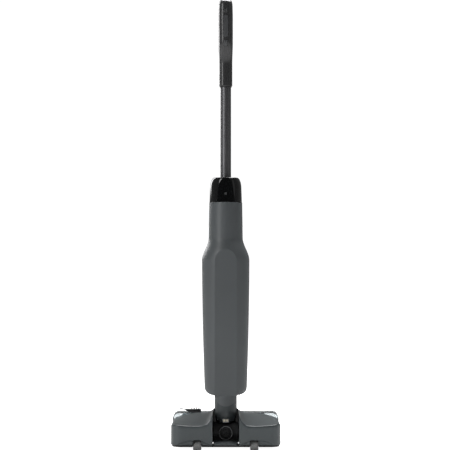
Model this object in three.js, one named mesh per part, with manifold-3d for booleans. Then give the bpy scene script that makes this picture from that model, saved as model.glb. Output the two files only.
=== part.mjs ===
// Upright cordless wet and dry floor scrubber, as an assembly of separate pieces.
// Millimetres. +Z is up, +Y is the push direction, +X is to the right of the person who pushes it.
// The origin is on the floor, in the middle of the floor head's width and depth.
import * as THREE from 'three';
import { mergeVertices } from 'three/addons/utils/BufferGeometryUtils.js';
import Module from 'manifold-3d';

const wasm = await Module();
wasm.setup();

// ---------------------------------------------------------------- driving sizes
const FIT = 0.4; // gap between pieces that touch or slide past each other
const SHELL = 2.6; // moulded outer shells
const THIN = 1.6; // circuit boards and light covers
const LONG = 400; // reach of a cutting shape that runs past everything

// Floor head
const HEAD_WIDTH = 268;
const HEAD_DEPTH = 250;
const HEAD_CORNER = 26; // plan radius of the head's corners
const REAR_WALL_TOP = 61; // upper edge of the walls behind the wheels
const RIDGE_HEIGHT = 76; // top of the head, where the brush cover begins
const RIDGE_Y = 36; // joint line between the lobes and the brush cover
const EDGE_ROUND = 8; // rounding of the lobes' outer edges
const COLLAR_RISE = 28; // how far the lobes climb beside the neck
const COLLAR_REACH = 8; // how quickly that rise fades sideways
const END_REACH = 70; // the stretch beside each end where the top changes height
const END_LIFT = 6; // rise of the rear walls there
const END_DROP = 15; // fall of the ridge there
const BASE_UNDERSIDE = 10; // floor clearance of the base plate
const BASE_THICKNESS = 4;

// Wheels
const WHEEL_RADIUS = 12.5;
const WHEEL_WIDTH = 20;
const WHEEL_TRACK = 139; // distance between the wheels' middles
const WHEEL_Y = -108;
const AXLE_RADIUS = 3;
const TYRE_THICKNESS = 3.5;

// Roller
const ROLLER_RADIUS = 33; // over the nap, which touches the floor
const NAP_THICKNESS = 9;
const ROLLER_LENGTH = 222;
const ROLLER_CAP = 8; // thickness of the roller's end pieces
const COVER_AIR = 7; // gap between the nap and the brush cover
const COVER_SETBACK = 3.4; // how far the cover's front stands behind the bumper's face
const COVER_END_ROUND = 16; // rounding of the brush cover's ends
const MOTOR_RADIUS = 17; // brush motor

// Tilt joint and neck
const AXIS_Y = -45; // upright line of the neck, body and handle
const TILT_AXIS_Z = 38;
const NECK_RADIUS = 27.7;
const NECK_DOME_Z = 85; // centre of the neck's round lower end
const YOKE_WALL = 3.4; // yoke cup beside the neck
const YOKE_BARREL = 26; // radius of the yoke's pivot barrel
const YOKE_EAR_TOP = 95;
const YOKE_AIR = 4.5; // gap between the yoke's cup and the bridge cover ahead of it
const CAP_DISC_RADIUS = 16; // round cap on the back of the yoke
const PIVOT_RADIUS = 6;

// Main body
const BODY_BOTTOM = 130.5;
const BODY_HEIGHT = 475.5;
const BODY_WIDTH_LOW = 104.3;
const BODY_WIDTH_HIGH = 117.4;
const COLUMN_WIDTH = 84.4; // the slim upper part
const COLUMN_WIDTH_TOP = 81.6;
const SHOULDER_BELOW_TOP = 144; // where the flare starts, below the body's top
const SHOULDER_HEIGHT = 56;
const TONGUE_AIR = 0.7; // gap between the neck and the tongue that hangs behind it
const REAR_LOW = NECK_RADIUS + SHELL + TONGUE_AIR; // how far the flat back stands behind the upright line
const REAR_HIGH = 50;
const REAR_COLUMN = 43; // the same for the round back of the slim part
const FRONT_LOW = 88; // how far the front stands ahead of the upright line
const FRONT_HIGH = 95;
const FRONT_COLUMN = 74;
const FACET_HALF = 27; // half width of the flat centre of the back
const BOTTOM_ROUND = 18;
const TANK_BACK_Y = 6; // plane that the tanks slide up to
const FRAME_THICKNESS = 5;

// Tanks
const DIRTY_TANK_BOTTOM = 160;
const CLEAN_TANK_HEIGHT = 175;
const TANK_WALL = 2.4;
const LID_HEIGHT = 16;
const SHELF_GAP = 8; // height of the shelf between the two tank bays, with its gaps
const TOP_SHELF = 20; // from the clean water tank's top to the body's top
const FILL_RADIUS = 9; // filling mouth of the clean water tank

// Cap, handle and grip
const CAP_HEIGHT = 60;
const CAP_SHOULDER = 24; // height of the cap's rounded shoulder
const CAP_TOP_WIDTH = 57;
const CAP_FLAT = 35; // how far the flat of the cap's back stands behind the upright line
const TUBE_RADIUS = 13.2;
const TUBE_WALL = 1.6;
const TUBE_INSERT = 52; // length of tube inside the cap
const TUBE_VISIBLE = 226;
const SLEEVE_WIDTH = 32.6;
const SLEEVE_HEIGHT = 55;
const GRIP_WIDTH = 35.2;
const GRIP_HEIGHT = 154;
const BUTTON_TRAVEL = 2;
const BUTTON_RADIUS = 5;
const RELEASE_RADIUS = 3;

// ---------------------------------------------------------------- sizes that follow
const GAP = 2 * FIT; // where a piece slides in a track
const HEAD_HALF = HEAD_WIDTH / 2;
const REAR_Y = -HEAD_DEPTH / 2;
const FRONT_Y = HEAD_DEPTH / 2;
const ROLLER_Y = FRONT_Y - COVER_SETBACK - SHELL - COVER_AIR - ROLLER_RADIUS;
const BASE_TOP = BASE_UNDERSIDE + BASE_THICKNESS;
const SHELL_BOTTOM = BASE_TOP + FIT;
const YOKE_HALF = NECK_RADIUS + FIT + YOKE_WALL;
const SLOT_HALF = YOKE_HALF + 1;
const BODY_TOP = BODY_BOTTOM + BODY_HEIGHT;
const SHOULDER_START = BODY_TOP - SHOULDER_BELOW_TOP;
const CAP_BOTTOM = BODY_TOP + FIT;
const CAP_TOP = CAP_BOTTOM + CAP_HEIGHT;
const SLEEVE_BOTTOM = CAP_TOP + TUBE_VISIBLE;
const GRIP_BOTTOM = SLEEVE_BOTTOM + SLEEVE_HEIGHT;
const GRIP_TOP = GRIP_BOTTOM + GRIP_HEIGHT;
const CLEAN_TANK_TOP = BODY_TOP - TOP_SHELF;
const CLEAN_TANK_BOTTOM = CLEAN_TANK_TOP - CLEAN_TANK_HEIGHT;
const DIRTY_TANK_HEIGHT = CLEAN_TANK_BOTTOM - SHELF_GAP - LID_HEIGHT - DIRTY_TANK_BOTTOM;

// ---------------------------------------------------------------- small helpers
function clamp(value, low, high) {
  return Math.min(Math.max(value, low), high);
}

function mix(a, b, t) {
  return a + (b - a) * t;
}

function smooth(t) {
  const s = clamp(t, 0, 1);
  return s * s * (3 - 2 * s);
}

function steps(from, to, count) {
  return Array.from({ length: count + 1 }, (_, i) => mix(from, to, i / count));
}

// A closed mesh as a solid that can be cut and joined.
function solid(geometry) {
  const bare = geometry.clone();
  bare.deleteAttribute('normal');
  bare.deleteAttribute('uv');
  const merged = mergeVertices(bare, 1e-4);
  const vertProperties = new Float32Array(merged.attributes.position.array);
  const triVerts = new Uint32Array(merged.index.array);
  return new wasm.Manifold(new wasm.Mesh({ numProp: 3, vertProperties, triVerts }));
}

function geometryOf(manifold) {
  const mesh = manifold.getMesh();
  const points = [];
  for (let i = 0; i < mesh.vertProperties.length; i += mesh.numProp) {
    points.push(...mesh.vertProperties.subarray(i, i + 3));
  }
  const geometry = new THREE.BufferGeometry();
  geometry.setAttribute('position', new THREE.Float32BufferAttribute(points, 3));
  geometry.setIndex(Array.from(mesh.triVerts));
  return geometry;
}

function join(first, ...others) {
  return geometryOf(others.reduce((sum, next) => sum.add(solid(next)), solid(first)));
}

function cut(first, ...others) {
  return geometryOf(others.reduce((rest, next) => rest.subtract(solid(next)), solid(first)));
}

function common(first, ...others) {
  return geometryOf(others.reduce((rest, next) => rest.intersect(solid(next)), solid(first)));
}

function box(x0, x1, y0, y1, z0, z1) {
  const geometry = new THREE.BoxGeometry(x1 - x0, y1 - y0, z1 - z0);
  return geometry.translate((x0 + x1) / 2, (y0 + y1) / 2, (z0 + z1) / 2);
}

// A round bar along 'x', 'y' or 'z', from one place on that axis to another.
function bar(axis, radius, from, to, across, sides = 24) {
  const geometry = new THREE.CylinderGeometry(radius, radius, to - from, sides);
  const middle = (from + to) / 2;
  if (axis === 'x') return geometry.rotateZ(-Math.PI / 2).translate(middle, across[0], across[1]);
  if (axis === 'y') return geometry.translate(across[0], middle, across[1]);
  return geometry.rotateX(Math.PI / 2).translate(across[0], across[1], middle);
}

// A solid of revolution about 'x', 'y' or 'z'. The profile is [radius, place along the axis].
function turned(axis, profile, across, sides = 32) {
  const points = profile.map(([radius, along]) => new THREE.Vector2(radius, along));
  const geometry = new THREE.LatheGeometry([...points, points[0]], sides);
  const shape = solid(geometry);
  const upright = shape.volume() < 0 ? flipped(geometryOf(shape)) : geometryOf(shape);
  if (axis === 'x') return upright.rotateZ(-Math.PI / 2).translate(0, across[0], across[1]);
  if (axis === 'y') return upright.translate(across[0], 0, across[1]);
  return upright.rotateX(Math.PI / 2).translate(across[0], across[1], 0);
}

function flipped(geometry) {
  const index = geometry.index.array;
  const turnedAround = [];
  for (let i = 0; i < index.length; i += 3) turnedAround.push(index[i], index[i + 2], index[i + 1]);
  geometry.setIndex(turnedAround);
  return geometry;
}

// The same piece on the other side of the machine.
function mirrored(geometry) {
  return flipped(solidGeometry(geometry).scale(-1, 1, 1));
}

function solidGeometry(geometry) {
  return geometryOf(solid(geometry));
}

// A closed skin through rings that all have the same number of points.
function loft(rings) {
  const count = rings[0].length;
  const points = rings.flat();
  const index = [];
  for (let r = 0; r + 1 < rings.length; r += 1) {
    for (let i = 0; i < count; i += 1) {
      const a = r * count + i;
      const b = r * count + ((i + 1) % count);
      index.push(a, b, b + count, a, b + count, a + count);
    }
  }
  const ends = [0, rings.length - 1];
  for (const end of ends) {
    const ring = rings[end];
    const flat = flatPlane(ring);
    for (const [a, b, c] of THREE.ShapeUtils.triangulateShape(flat, [])) {
      const base = end * count;
      if (end === 0) index.push(base + a, base + c, base + b);
      else index.push(base + a, base + b, base + c);
    }
  }
  const geometry = new THREE.BufferGeometry();
  geometry.setAttribute('position', new THREE.Float32BufferAttribute(points.flat(), 3));
  geometry.setIndex(index);
  return geometry;
}

// Drops the coordinate in which a ring is flat, keeping its direction of travel.
function flatPlane(ring) {
  const alike = (k) => ring.every((p) => Math.abs(p[k] - ring[0][k]) < 1e-6);
  if (alike(2)) return ring.map((p) => new THREE.Vector2(p[0], p[1]));
  if (alike(0)) return ring.map((p) => new THREE.Vector2(p[1], p[2]));
  return ring.map((p) => new THREE.Vector2(p[2], p[0]));
}

// A plate with rounded corners, flat in the XY plane.
function slab(x0, x1, y0, y1, z0, z1, radius) {
  const shape = new THREE.Shape();
  const r = radius;
  shape.moveTo(x0 + r, y0);
  shape.absarc(x1 - r, y0 + r, r, -Math.PI / 2, 0, false);
  shape.absarc(x1 - r, y1 - r, r, 0, Math.PI / 2, false);
  shape.absarc(x0 + r, y1 - r, r, Math.PI / 2, Math.PI, false);
  shape.absarc(x0 + r, y0 + r, r, Math.PI, 1.5 * Math.PI, false);
  const options = { depth: z1 - z0, bevelEnabled: false, curveSegments: 3 };
  return new THREE.ExtrudeGeometry(shape, options).translate(0, 0, z0);
}

// The same plate standing up, flat in the XZ plane, between two Y places.
function panel(x0, x1, z0, z1, y0, y1, radius) {
  return slab(x0, x1, -z1, -z0, y0, y1, radius).rotateX(-Math.PI / 2);
}

// An outline in the YZ plane, carried along X.
function profileAlongX(outline, x0, x1) {
  const shape = new THREE.Shape(outline.map(([y, z]) => new THREE.Vector2(y, z)));
  const geometry = new THREE.ExtrudeGeometry(shape, { depth: x1 - x0, bevelEnabled: false });
  const order = new THREE.Matrix4().set(0, 0, 1, x0, 1, 0, 0, 0, 0, 1, 0, 0, 0, 0, 0, 1);
  return geometry.applyMatrix4(order);
}

// ---------------------------------------------------------------- materials
function finish(color, roughness, metalness = 0) {
  return new THREE.MeshStandardMaterial({ color, roughness, metalness });
}

const SATIN_GREY = finish('#54585b', 0.45);
const HEAD_GREY = finish('#4b5053', 0.5);
const BLACK_MATT = finish('#1c1d1e', 0.6);
const BLACK_GLOSS = finish('#0c0c0d', 0.12);
const TUBE_METAL = finish('#4a4a4b', 0.3, 0.9);
const GRIP_PLASTIC = finish('#3b3c3d', 0.5);
const STRIP_GREY = finish('#48494a', 0.4);
const CLEAR = new THREE.MeshStandardMaterial({ color: '#b9c0c4', roughness: 0.08, metalness: 0 });
const SMOKE = new THREE.MeshStandardMaterial({ color: '#6e777c', roughness: 0.1, metalness: 0 });
const RUBBER = finish('#6a6b6b', 0.85);
const SEAL = finish('#262728', 0.9);
const STEEL = finish('#b4b6b8', 0.3, 1);
const GOLDEN = finish('#b8a06a', 0.35, 1);
const NAP = finish('#8f9699', 0.98);
const BOARD = finish('#1f5a3a', 0.6);
const MOTOR_GREY = finish('#7e8285', 0.4, 0.6);
const RING_GREY = finish('#9a9c9d', 0.4);
const BATTERY_BLUE = finish('#2f4a6e', 0.55);

const machine = new THREE.Group();

function part(name, geometry, material) {
  const mesh = new THREE.Mesh(geometry, material);
  mesh.name = name;
  machine.add(mesh);
}

// ---------------------------------------------------------------- floor head: lobes
function cornerInset(distance, radius) {
  if (distance >= radius) return 0;
  const rest = radius - Math.max(distance, 0);
  return radius - Math.sqrt(Math.max(radius * radius - rest * rest, 0));
}

// One ring of a lobe, in a plane across X. `inset` gives the inner skin.
function lobeRing(x, inset) {
  const fromEnd = HEAD_HALF - x;
  const rear = REAR_Y + cornerInset(fromEnd, HEAD_CORNER) + inset;
  const front = RIDGE_Y - inset;
  const drop = cornerInset(fromEnd, EDGE_ROUND) + inset;
  const collar = Math.exp(-Math.max(x - SLOT_HALF, 0) / COLLAR_REACH);
  const outward = clamp(1 - fromEnd / END_REACH, 0, 1) ** 2;
  const rearTop = REAR_WALL_TOP + COLLAR_RISE * collar + END_LIFT * outward - drop;
  const frontTop = RIDGE_HEIGHT + (COLLAR_RISE * collar) / 3 - END_DROP * outward - drop;
  const bottom = inset > 0 ? 0 : SHELL_BOTTOM;
  const ring = [[x, rear, bottom]];
  for (const angle of steps(Math.PI, Math.PI / 2, 4)) {
    const y = rear + EDGE_ROUND + EDGE_ROUND * Math.cos(angle);
    const z = rearTop - EDGE_ROUND + EDGE_ROUND * Math.sin(angle);
    ring.push([x, y, z]);
  }
  for (const t of steps(0, 1, 6).slice(1)) {
    const y = mix(rear + EDGE_ROUND, front, t);
    ring.push([x, y, mix(rearTop, frontTop, Math.sin((t * Math.PI) / 2))]);
  }
  ring.push([x, front, bottom]);
  return ring.reverse();
}

function lobeSkin(inset) {
  const start = SLOT_HALF + inset;
  const end = HEAD_HALF - inset;
  const stations = [0, 3, 7, 12, 20].map((d) => start + d);
  stations.push(...steps(start + 34, HEAD_HALF - HEAD_CORNER, 2));
  for (const angle of steps(0, Math.PI / 2, 6).slice(1)) {
    stations.push(HEAD_HALF - HEAD_CORNER + HEAD_CORNER * Math.sin(angle));
  }
  const kept = stations.filter((x) => x < end - 0.5);
  return loft([...kept, end - 0.1].map((x) => lobeRing(x, inset)));
}

function lobeCover() {
  const wheelMiddle = WHEEL_TRACK / 2;
  const archHalf = WHEEL_WIDTH / 2 + 3;
  const archTop = 2 * WHEEL_RADIUS + 2;
  const arch = box(wheelMiddle - archHalf, wheelMiddle + archHalf, -LONG, REAR_Y + 30, 0, archTop);
  const pinHole = bar('x', PIVOT_RADIUS + FIT, 0, SLOT_HALF + 12, [AXIS_Y, TILT_AXIS_Z]);
  const openFront = box(SLOT_HALF + SHELL, HEAD_HALF - SHELL, RIDGE_Y - SHELL - 2, LONG, 0, REAR_WALL_TOP);
  return cut(lobeSkin(0), lobeSkin(SHELL), arch, pinHole, openFront);
}

function buildLobes() {
  const right = lobeCover();
  part('right_lobe_cover', right, HEAD_GREY);
  part('left_lobe_cover', mirrored(right), HEAD_GREY);
}

// ---------------------------------------------------------------- floor head: base
const CHAMBER_REAR = RIDGE_Y + 2;
const CHAMBER_WALL_TOP = 56;
const END_PLATE_OUT = HEAD_HALF - SHELL - FIT;
const END_PLATE_IN = ROLLER_LENGTH / 2 + ROLLER_CAP + FIT;
const END_PLATE_FRONT = ROLLER_Y + 19;
const POST_IN = SLOT_HALF + SHELL + GAP;
const POST_OUT = POST_IN + 8;
const AXLE_Z = WHEEL_RADIUS;
const WHEEL_IN = WHEEL_TRACK / 2 - WHEEL_WIDTH / 2;
const WHEEL_OUT = WHEEL_TRACK / 2 + WHEEL_WIDTH / 2;
const BRACKET = 4;
const DUCT_HALF = 20;
const DUCT_LOW = BASE_TOP + FIT;
const DUCT_TOP = DUCT_LOW + 26;
const SLOT_REAR = AXIS_Y - 40;
const BLOCK_TOP = 21.5; // low enough for the neck to lean over it
const BRIDGE_REAR = AXIS_Y + YOKE_HALF + YOKE_AIR;
const COVER_LOW = BASE_TOP + 3;
const BUMPER_TOP = COVER_LOW - FIT;

function headBase() {
  const plate = slab(-HEAD_HALF + 3, HEAD_HALF - 3, REAR_Y + 3, FRONT_Y - 6, BASE_UNDERSIDE, BASE_TOP, 24);
  const chamberWall = box(-END_PLATE_OUT, END_PLATE_OUT, CHAMBER_REAR, CHAMBER_REAR + 3, BASE_UNDERSIDE, CHAMBER_WALL_TOP);
  const pieces = [chamberWall];
  const holes = [];
  for (const side of [-1, 1]) {
    const reach = (a, b) => [Math.min(side * a, side * b), Math.max(side * a, side * b)];
    const endPlate = box(...reach(END_PLATE_IN, END_PLATE_OUT), CHAMBER_REAR, END_PLATE_FRONT,
      BASE_UNDERSIDE, 50);
    const post = box(...reach(POST_IN, POST_OUT), AXIS_Y - 13, AXIS_Y + 13, BASE_UNDERSIDE, TILT_AXIS_Z + 9);
    pieces.push(endPlate, post);
    holes.push(bar('x', PIVOT_RADIUS + FIT, ...reach(POST_IN - 2, POST_OUT + 2), [AXIS_Y, TILT_AXIS_Z]));
    for (const edge of [WHEEL_IN - 1 - BRACKET, WHEEL_OUT + 1]) {
      pieces.push(box(...reach(edge, edge + BRACKET), WHEEL_Y - 6, WHEEL_Y + 12, BASE_UNDERSIDE, 22));
    }
    holes.push(bar('x', AXLE_RADIUS + FIT, ...reach(WHEEL_IN - 9, WHEEL_OUT + 9), [WHEEL_Y, AXLE_Z], 16));
  }
  const chamber = box(-END_PLATE_IN, END_PLATE_IN, CHAMBER_REAR + 3, FRONT_Y - 12, 0, BASE_TOP + 1);
  const slot = box(-SLOT_HALF - 1, SLOT_HALF + 1, SLOT_REAR, BRIDGE_REAR + 4, 0, LONG);
  const mouth = box(-DUCT_HALF, DUCT_HALF, CHAMBER_REAR - 1, CHAMBER_REAR + 4,
    DUCT_LOW + 2, DUCT_TOP - 6);
  const wells = [-1, 1].map((side) => {
    const low = side * (WHEEL_TRACK / 2) - WHEEL_WIDTH / 2 - 1;
    return box(low, low + WHEEL_WIDTH + 2, -LONG, WHEEL_Y + WHEEL_RADIUS + 3, 0, BASE_TOP + 1);
  });
  const beltX = END_PLATE_IN - BELT_WIDTH - 4;
  holes.push(box(beltX, END_PLATE_IN, CHAMBER_REAR - 1, CHAMBER_REAR + 4, MOTOR_Z - 18, MOTOR_Z + 20));
  const plateCut = cut(plate, chamber, slot, ...wells);
  return cut(join(plateCut, ...pieces), mouth, ...holes);
}

function buildBase() {
  part('head_base', headBase(), BLACK_MATT);
  for (const [name, side] of [['left', -1], ['right', 1]]) {
    const axleEnds = [side * (WHEEL_IN - 5), side * (WHEEL_OUT + 5)].sort((a, b) => a - b);
    part(`${name}_wheel_axle`, bar('x', AXLE_RADIUS, ...axleEnds, [WHEEL_Y, AXLE_Z], 16), STEEL);
    const pinEnds = [side * (YOKE_HALF - 12), side * POST_OUT].sort((a, b) => a - b);
    part(`${name}_pivot_pin`, bar('x', PIVOT_RADIUS, ...pinEnds, [AXIS_Y, TILT_AXIS_Z], 20), STEEL);
  }
}

// ---------------------------------------------------------------- floor head: covers
function buildHeadCovers() {
  // Cover in front of the neck, between the two lobes, hollow and open below.
  const half = SLOT_HALF - FIT;
  const top = RIDGE_HEIGHT + COLLAR_RISE / 3;
  const outline = [[BRIDGE_REAR, SHELL_BOTTOM], [BRIDGE_REAR, top - 12], [BRIDGE_REAR + 5, top - 3]];
  outline.push([BRIDGE_REAR + 14, top], [RIDGE_Y - 6, top], [RIDGE_Y - 1, top - 3]);
  outline.push([RIDGE_Y, top - 9], [RIDGE_Y, SHELL_BOTTOM]);
  const outer = profileAlongX(outline.reverse(), -half, half);
  const inside = box(-half + SHELL, half - SHELL, BRIDGE_REAR + SHELL, RIDGE_Y - SHELL, 0, top - 12);
  const hole = box(-DUCT_HALF - GAP, DUCT_HALF + GAP, -LONG, LONG, 0, DUCT_TOP + 2);
  part('bridge_cover', cut(outer, inside, hole), HEAD_GREY);

  // Block behind the neck, low between the lobes.
  const blockFront = SLOT_REAR - 1;
  const block = slab(-30, 30, REAR_Y + 2, blockFront, SHELL_BOTTOM, BLOCK_TOP, 5);
  const inset = box(-12, 12, REAR_Y, REAR_Y + 4, SHELL_BOTTOM + 2, BLOCK_TOP - 2);
  part('rear_block', cut(block, inset), HEAD_GREY);

  // Duct that carries the dirty water from the roller chamber to the yoke.
  const ductFront = CHAMBER_REAR - FIT;
  const ductRear = AXIS_Y + YOKE_BARREL + 12;
  const duct = box(-DUCT_HALF, DUCT_HALF, ductRear, ductFront, DUCT_LOW, DUCT_TOP);
  const bore = box(-DUCT_HALF + 2, DUCT_HALF - 2, ductRear - 1, ductFront + 1, DUCT_LOW + 2, DUCT_TOP - 2);
  part('suction_duct', cut(duct, bore), BLACK_MATT);

  // Rubber strip behind the roller and soft bumper along the front edge.
  const stripY = CHAMBER_REAR + 3 + FIT;
  part('squeegee', box(-108, 108, stripY, stripY + 3, 0.6, BASE_UNDERSIDE + 8), SEAL);
  part('front_bumper', slab(-112, 112, FRONT_Y - 5.6, FRONT_Y, BASE_UNDERSIDE,
    BUMPER_TOP, 2.6), SEAL);
  part('spray_bar', bar('x', 3.2, -104, 104, [CHAMBER_REAR + 9, 57], 12), BLACK_MATT);
}

// ---------------------------------------------------------------- brush drive
const MOTOR_Y = RIDGE_Y - SHELL - MOTOR_RADIUS - 10;
const MOTOR_Z = 34;
const MOTOR_AIR = 4.3; // gap between the lobe's inner wall and the motor
const ROLLER_PULLEY = 15;
const MOTOR_PULLEY = 7;
const BELT_WIDTH = 6;
const BELT_THICKNESS = 1.6;

// A point on a pulley's rim, or a little outside it, where a pulley is [y, z, radius].
function onCircle([y, z, radius], grow, angle) {
  return [y + (radius + grow) * Math.cos(angle), z + (radius + grow) * Math.sin(angle)];
}

function pulleyBelt() {
  // An open belt round two pulleys, as the hull of two discs less the hull of the pulleys.
  const centres = [[MOTOR_Y, MOTOR_Z, MOTOR_PULLEY], [ROLLER_Y, ROLLER_RADIUS, ROLLER_PULLEY]];
  const outline = (grow) => {
    const [a, b] = centres;
    const span = Math.hypot(b[0] - a[0], b[1] - a[1]);
    const lean = Math.atan2(b[1] - a[1], b[0] - a[0]);
    const wrap = Math.acos((a[2] - b[2]) / span);
    const points = [];
    for (const angle of steps(wrap, 2 * Math.PI - wrap, 10)) {
      points.push(onCircle(a, grow, lean + angle));
    }
    for (const angle of steps(-wrap, wrap, 12)) {
      points.push(onCircle(b, grow, lean + angle));
    }
    return points;
  };
  const x0 = BELT_X - BELT_WIDTH / 2;
  const outer = profileAlongX(outline(FIT + BELT_THICKNESS), x0, x0 + BELT_WIDTH);
  const inner = profileAlongX(outline(FIT), x0 - 1, x0 + BELT_WIDTH + 1);
  return cut(outer, inner);
}

const BELT_X = END_PLATE_IN - BELT_WIDTH / 2 - 2;

function buildDrive() {
  const motorEnd = BELT_X - BELT_WIDTH / 2 - 6;
  const motorStart = SLOT_HALF + SHELL + MOTOR_AIR;
  const motor = turned('x', [[4, motorStart], [MOTOR_RADIUS, motorStart + 2], [MOTOR_RADIUS, motorEnd - 2],
    [6, motorEnd], [6, motorEnd - 14], [4, motorEnd - 14]], [MOTOR_Y, MOTOR_Z], 24);
  part('brush_motor', motor, MOTOR_GREY);
  const shaftStart = motorEnd - 12;
  const shaft = bar('x', 2.5, shaftStart, BELT_X + BELT_WIDTH / 2 + 1, [MOTOR_Y, MOTOR_Z], 12);
  const wheel = bar('x', MOTOR_PULLEY, BELT_X - BELT_WIDTH / 2, BELT_X + BELT_WIDTH / 2,
    [MOTOR_Y, MOTOR_Z], 20);
  const flat = box(BELT_X, BELT_X + 9, MOTOR_Y - 9, MOTOR_Y + 9, MOTOR_Z + MOTOR_PULLEY - 1, LONG);
  part('motor_pulley', cut(join(shaft, wheel), flat), STEEL);
  part('drive_belt', pulleyBelt(), SEAL);
}

// ---------------------------------------------------------------- roller
function buildRoller() {
  const half = ROLLER_LENGTH / 2;
  const across = [ROLLER_Y, ROLLER_RADIUS];
  const coreRadius = ROLLER_RADIUS - NAP_THICKNESS;
  const core = turned('x', [[coreRadius - 3, -half], [coreRadius, -half], [coreRadius, half - BELT_WIDTH - 4],
    [coreRadius - 3, half - BELT_WIDTH - 4]], across);
  part('roller_core', core, GRIP_PLASTIC);
  const napEnd = half - BELT_WIDTH - 4;
  const nap = turned('x', [[coreRadius + FIT, -half], [ROLLER_RADIUS - 2, -half], [ROLLER_RADIUS, -half + 2],
    [ROLLER_RADIUS, napEnd - 2], [ROLLER_RADIUS - 2, napEnd], [coreRadius + FIT, napEnd]], across, 40);
  part('roller_nap', nap, NAP);
  // Left end: a plug with a ribbed rim and a pull tab across its face.
  const plug = turned('x', [[2, -half - ROLLER_CAP + 3], [coreRadius - 2, -half - ROLLER_CAP + 3],
    [coreRadius, -half - ROLLER_CAP + 5], [coreRadius, -half - FIT], [coreRadius - 3 - FIT, -half - FIT],
    [coreRadius - 3 - FIT, -half + 12], [2, -half + 12]], across);
  const tab = box(-half - ROLLER_CAP, -half - 2, ROLLER_Y - 14, ROLLER_Y + 14,
    ROLLER_RADIUS - 2.5, ROLLER_RADIUS + 2.5);
  const hollow = bar('x', 8, -half - 1, -half + 20, across, 20);
  part('roller_end_cap', cut(join(plug, tab), hollow), BLACK_MATT);
  // Right end: the toothed pulley that the belt drives, with its plug inside the core.
  const pulley = bar('x', ROLLER_PULLEY, BELT_X - BELT_WIDTH / 2, BELT_X + BELT_WIDTH / 2, across, 32);
  const plugRight = bar('x', coreRadius - 3 - FIT, napEnd - 14, napEnd + FIT, across, 32);
  const hub = bar('x', 9, napEnd, END_PLATE_IN - FIT, across, 24);
  const teeth = steps(0, 1, 16).slice(1).map((t) => {
    const angle = 2 * Math.PI * t;
    const y = ROLLER_Y + ROLLER_PULLEY * Math.cos(angle);
    const z = ROLLER_RADIUS + ROLLER_PULLEY * Math.sin(angle);
    return bar('x', 0.8, BELT_X - BELT_WIDTH, BELT_X + BELT_WIDTH, [y, z], 4);
  });
  const toothed = cut(pulley, ...teeth);
  part('roller_pulley', join(toothed, plugRight, hub), BLACK_MATT);
}

// ---------------------------------------------------------------- brush cover
function buildBrushCover() {
  const reach = ROLLER_RADIUS + COVER_AIR;
  const rearY = RIDGE_Y + FIT;
  const frontRise = RIDGE_HEIGHT - SHELL - ROLLER_RADIUS;
  const outline = (inset) => {
    const back = rearY - (inset > 0 ? 5 : 0);
    const points = [[back, COVER_LOW], [back, RIDGE_HEIGHT - inset]];
    for (const angle of steps(Math.PI / 2, 0, 8)) {
      const y = ROLLER_Y + (reach + SHELL - inset) * Math.cos(angle);
      const z = ROLLER_RADIUS + (frontRise + SHELL - inset) * Math.sin(angle);
      points.push([y, z]);
    }
    points.push([ROLLER_Y + reach + SHELL - inset, COVER_LOW]);
    return points.reverse();
  };
  const whole = profileAlongX(outline(0), -HEAD_HALF, HEAD_HALF);
  const ends = panel(-HEAD_HALF, HEAD_HALF, -LONG, RIDGE_HEIGHT, -LONG, LONG, COVER_END_ROUND);
  const hollowEnds = panel(-HEAD_HALF + SHELL, HEAD_HALF - SHELL, -LONG, RIDGE_HEIGHT - SHELL, -LONG, LONG,
    COVER_END_ROUND - SHELL);
  const plan = slab(-HEAD_HALF, HEAD_HALF, rearY - 60, FRONT_Y - 1, 0, LONG, 22);
  const hollow = profileAlongX(outline(SHELL), -HEAD_HALF + SHELL, HEAD_HALF - SHELL);
  const hollowPlan = slab(-HEAD_HALF + SHELL, HEAD_HALF - SHELL, rearY - 62, FRONT_Y - 1 - SHELL,
    0, LONG, 20);
  const below = box(-END_PLATE_OUT, END_PLATE_OUT, rearY - 9, FRONT_Y - 10, 0, COVER_LOW + 1);
  const seat = box(COVER_BUTTON_IN, COVER_BUTTON_OUT, COVER_BUTTON_Y - 9, COVER_BUTTON_Y + 9,
    RIDGE_HEIGHT - 9, LONG);
  const shell = cut(common(whole, plan, ends), common(hollow, hollowPlan, hollowEnds), below, seat);
  part('brush_cover', shell, CLEAR);

  // Release button: a black pad with grip ribs, on the left of the cover.
  const shape = box(COVER_BUTTON_IN + FIT, COVER_BUTTON_OUT - FIT, COVER_BUTTON_Y - 9 + FIT,
    COVER_BUTTON_Y + 9 - FIT, RIDGE_HEIGHT - 4, RIDGE_HEIGHT + 6);
  const ribs = steps(COVER_BUTTON_OUT - 28, COVER_BUTTON_OUT - 4, 5).map((x) => (
    box(x - 1.2, x + 1.2, COVER_BUTTON_Y - 7, COVER_BUTTON_Y + 7, RIDGE_HEIGHT + 5, RIDGE_HEIGHT + 11)));
  part('cover_button', join(shape, ...ribs), BLACK_MATT);
}

const COVER_BUTTON_IN = -118;
const COVER_BUTTON_OUT = -62;
const COVER_BUTTON_Y = RIDGE_Y + 24;

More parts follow.
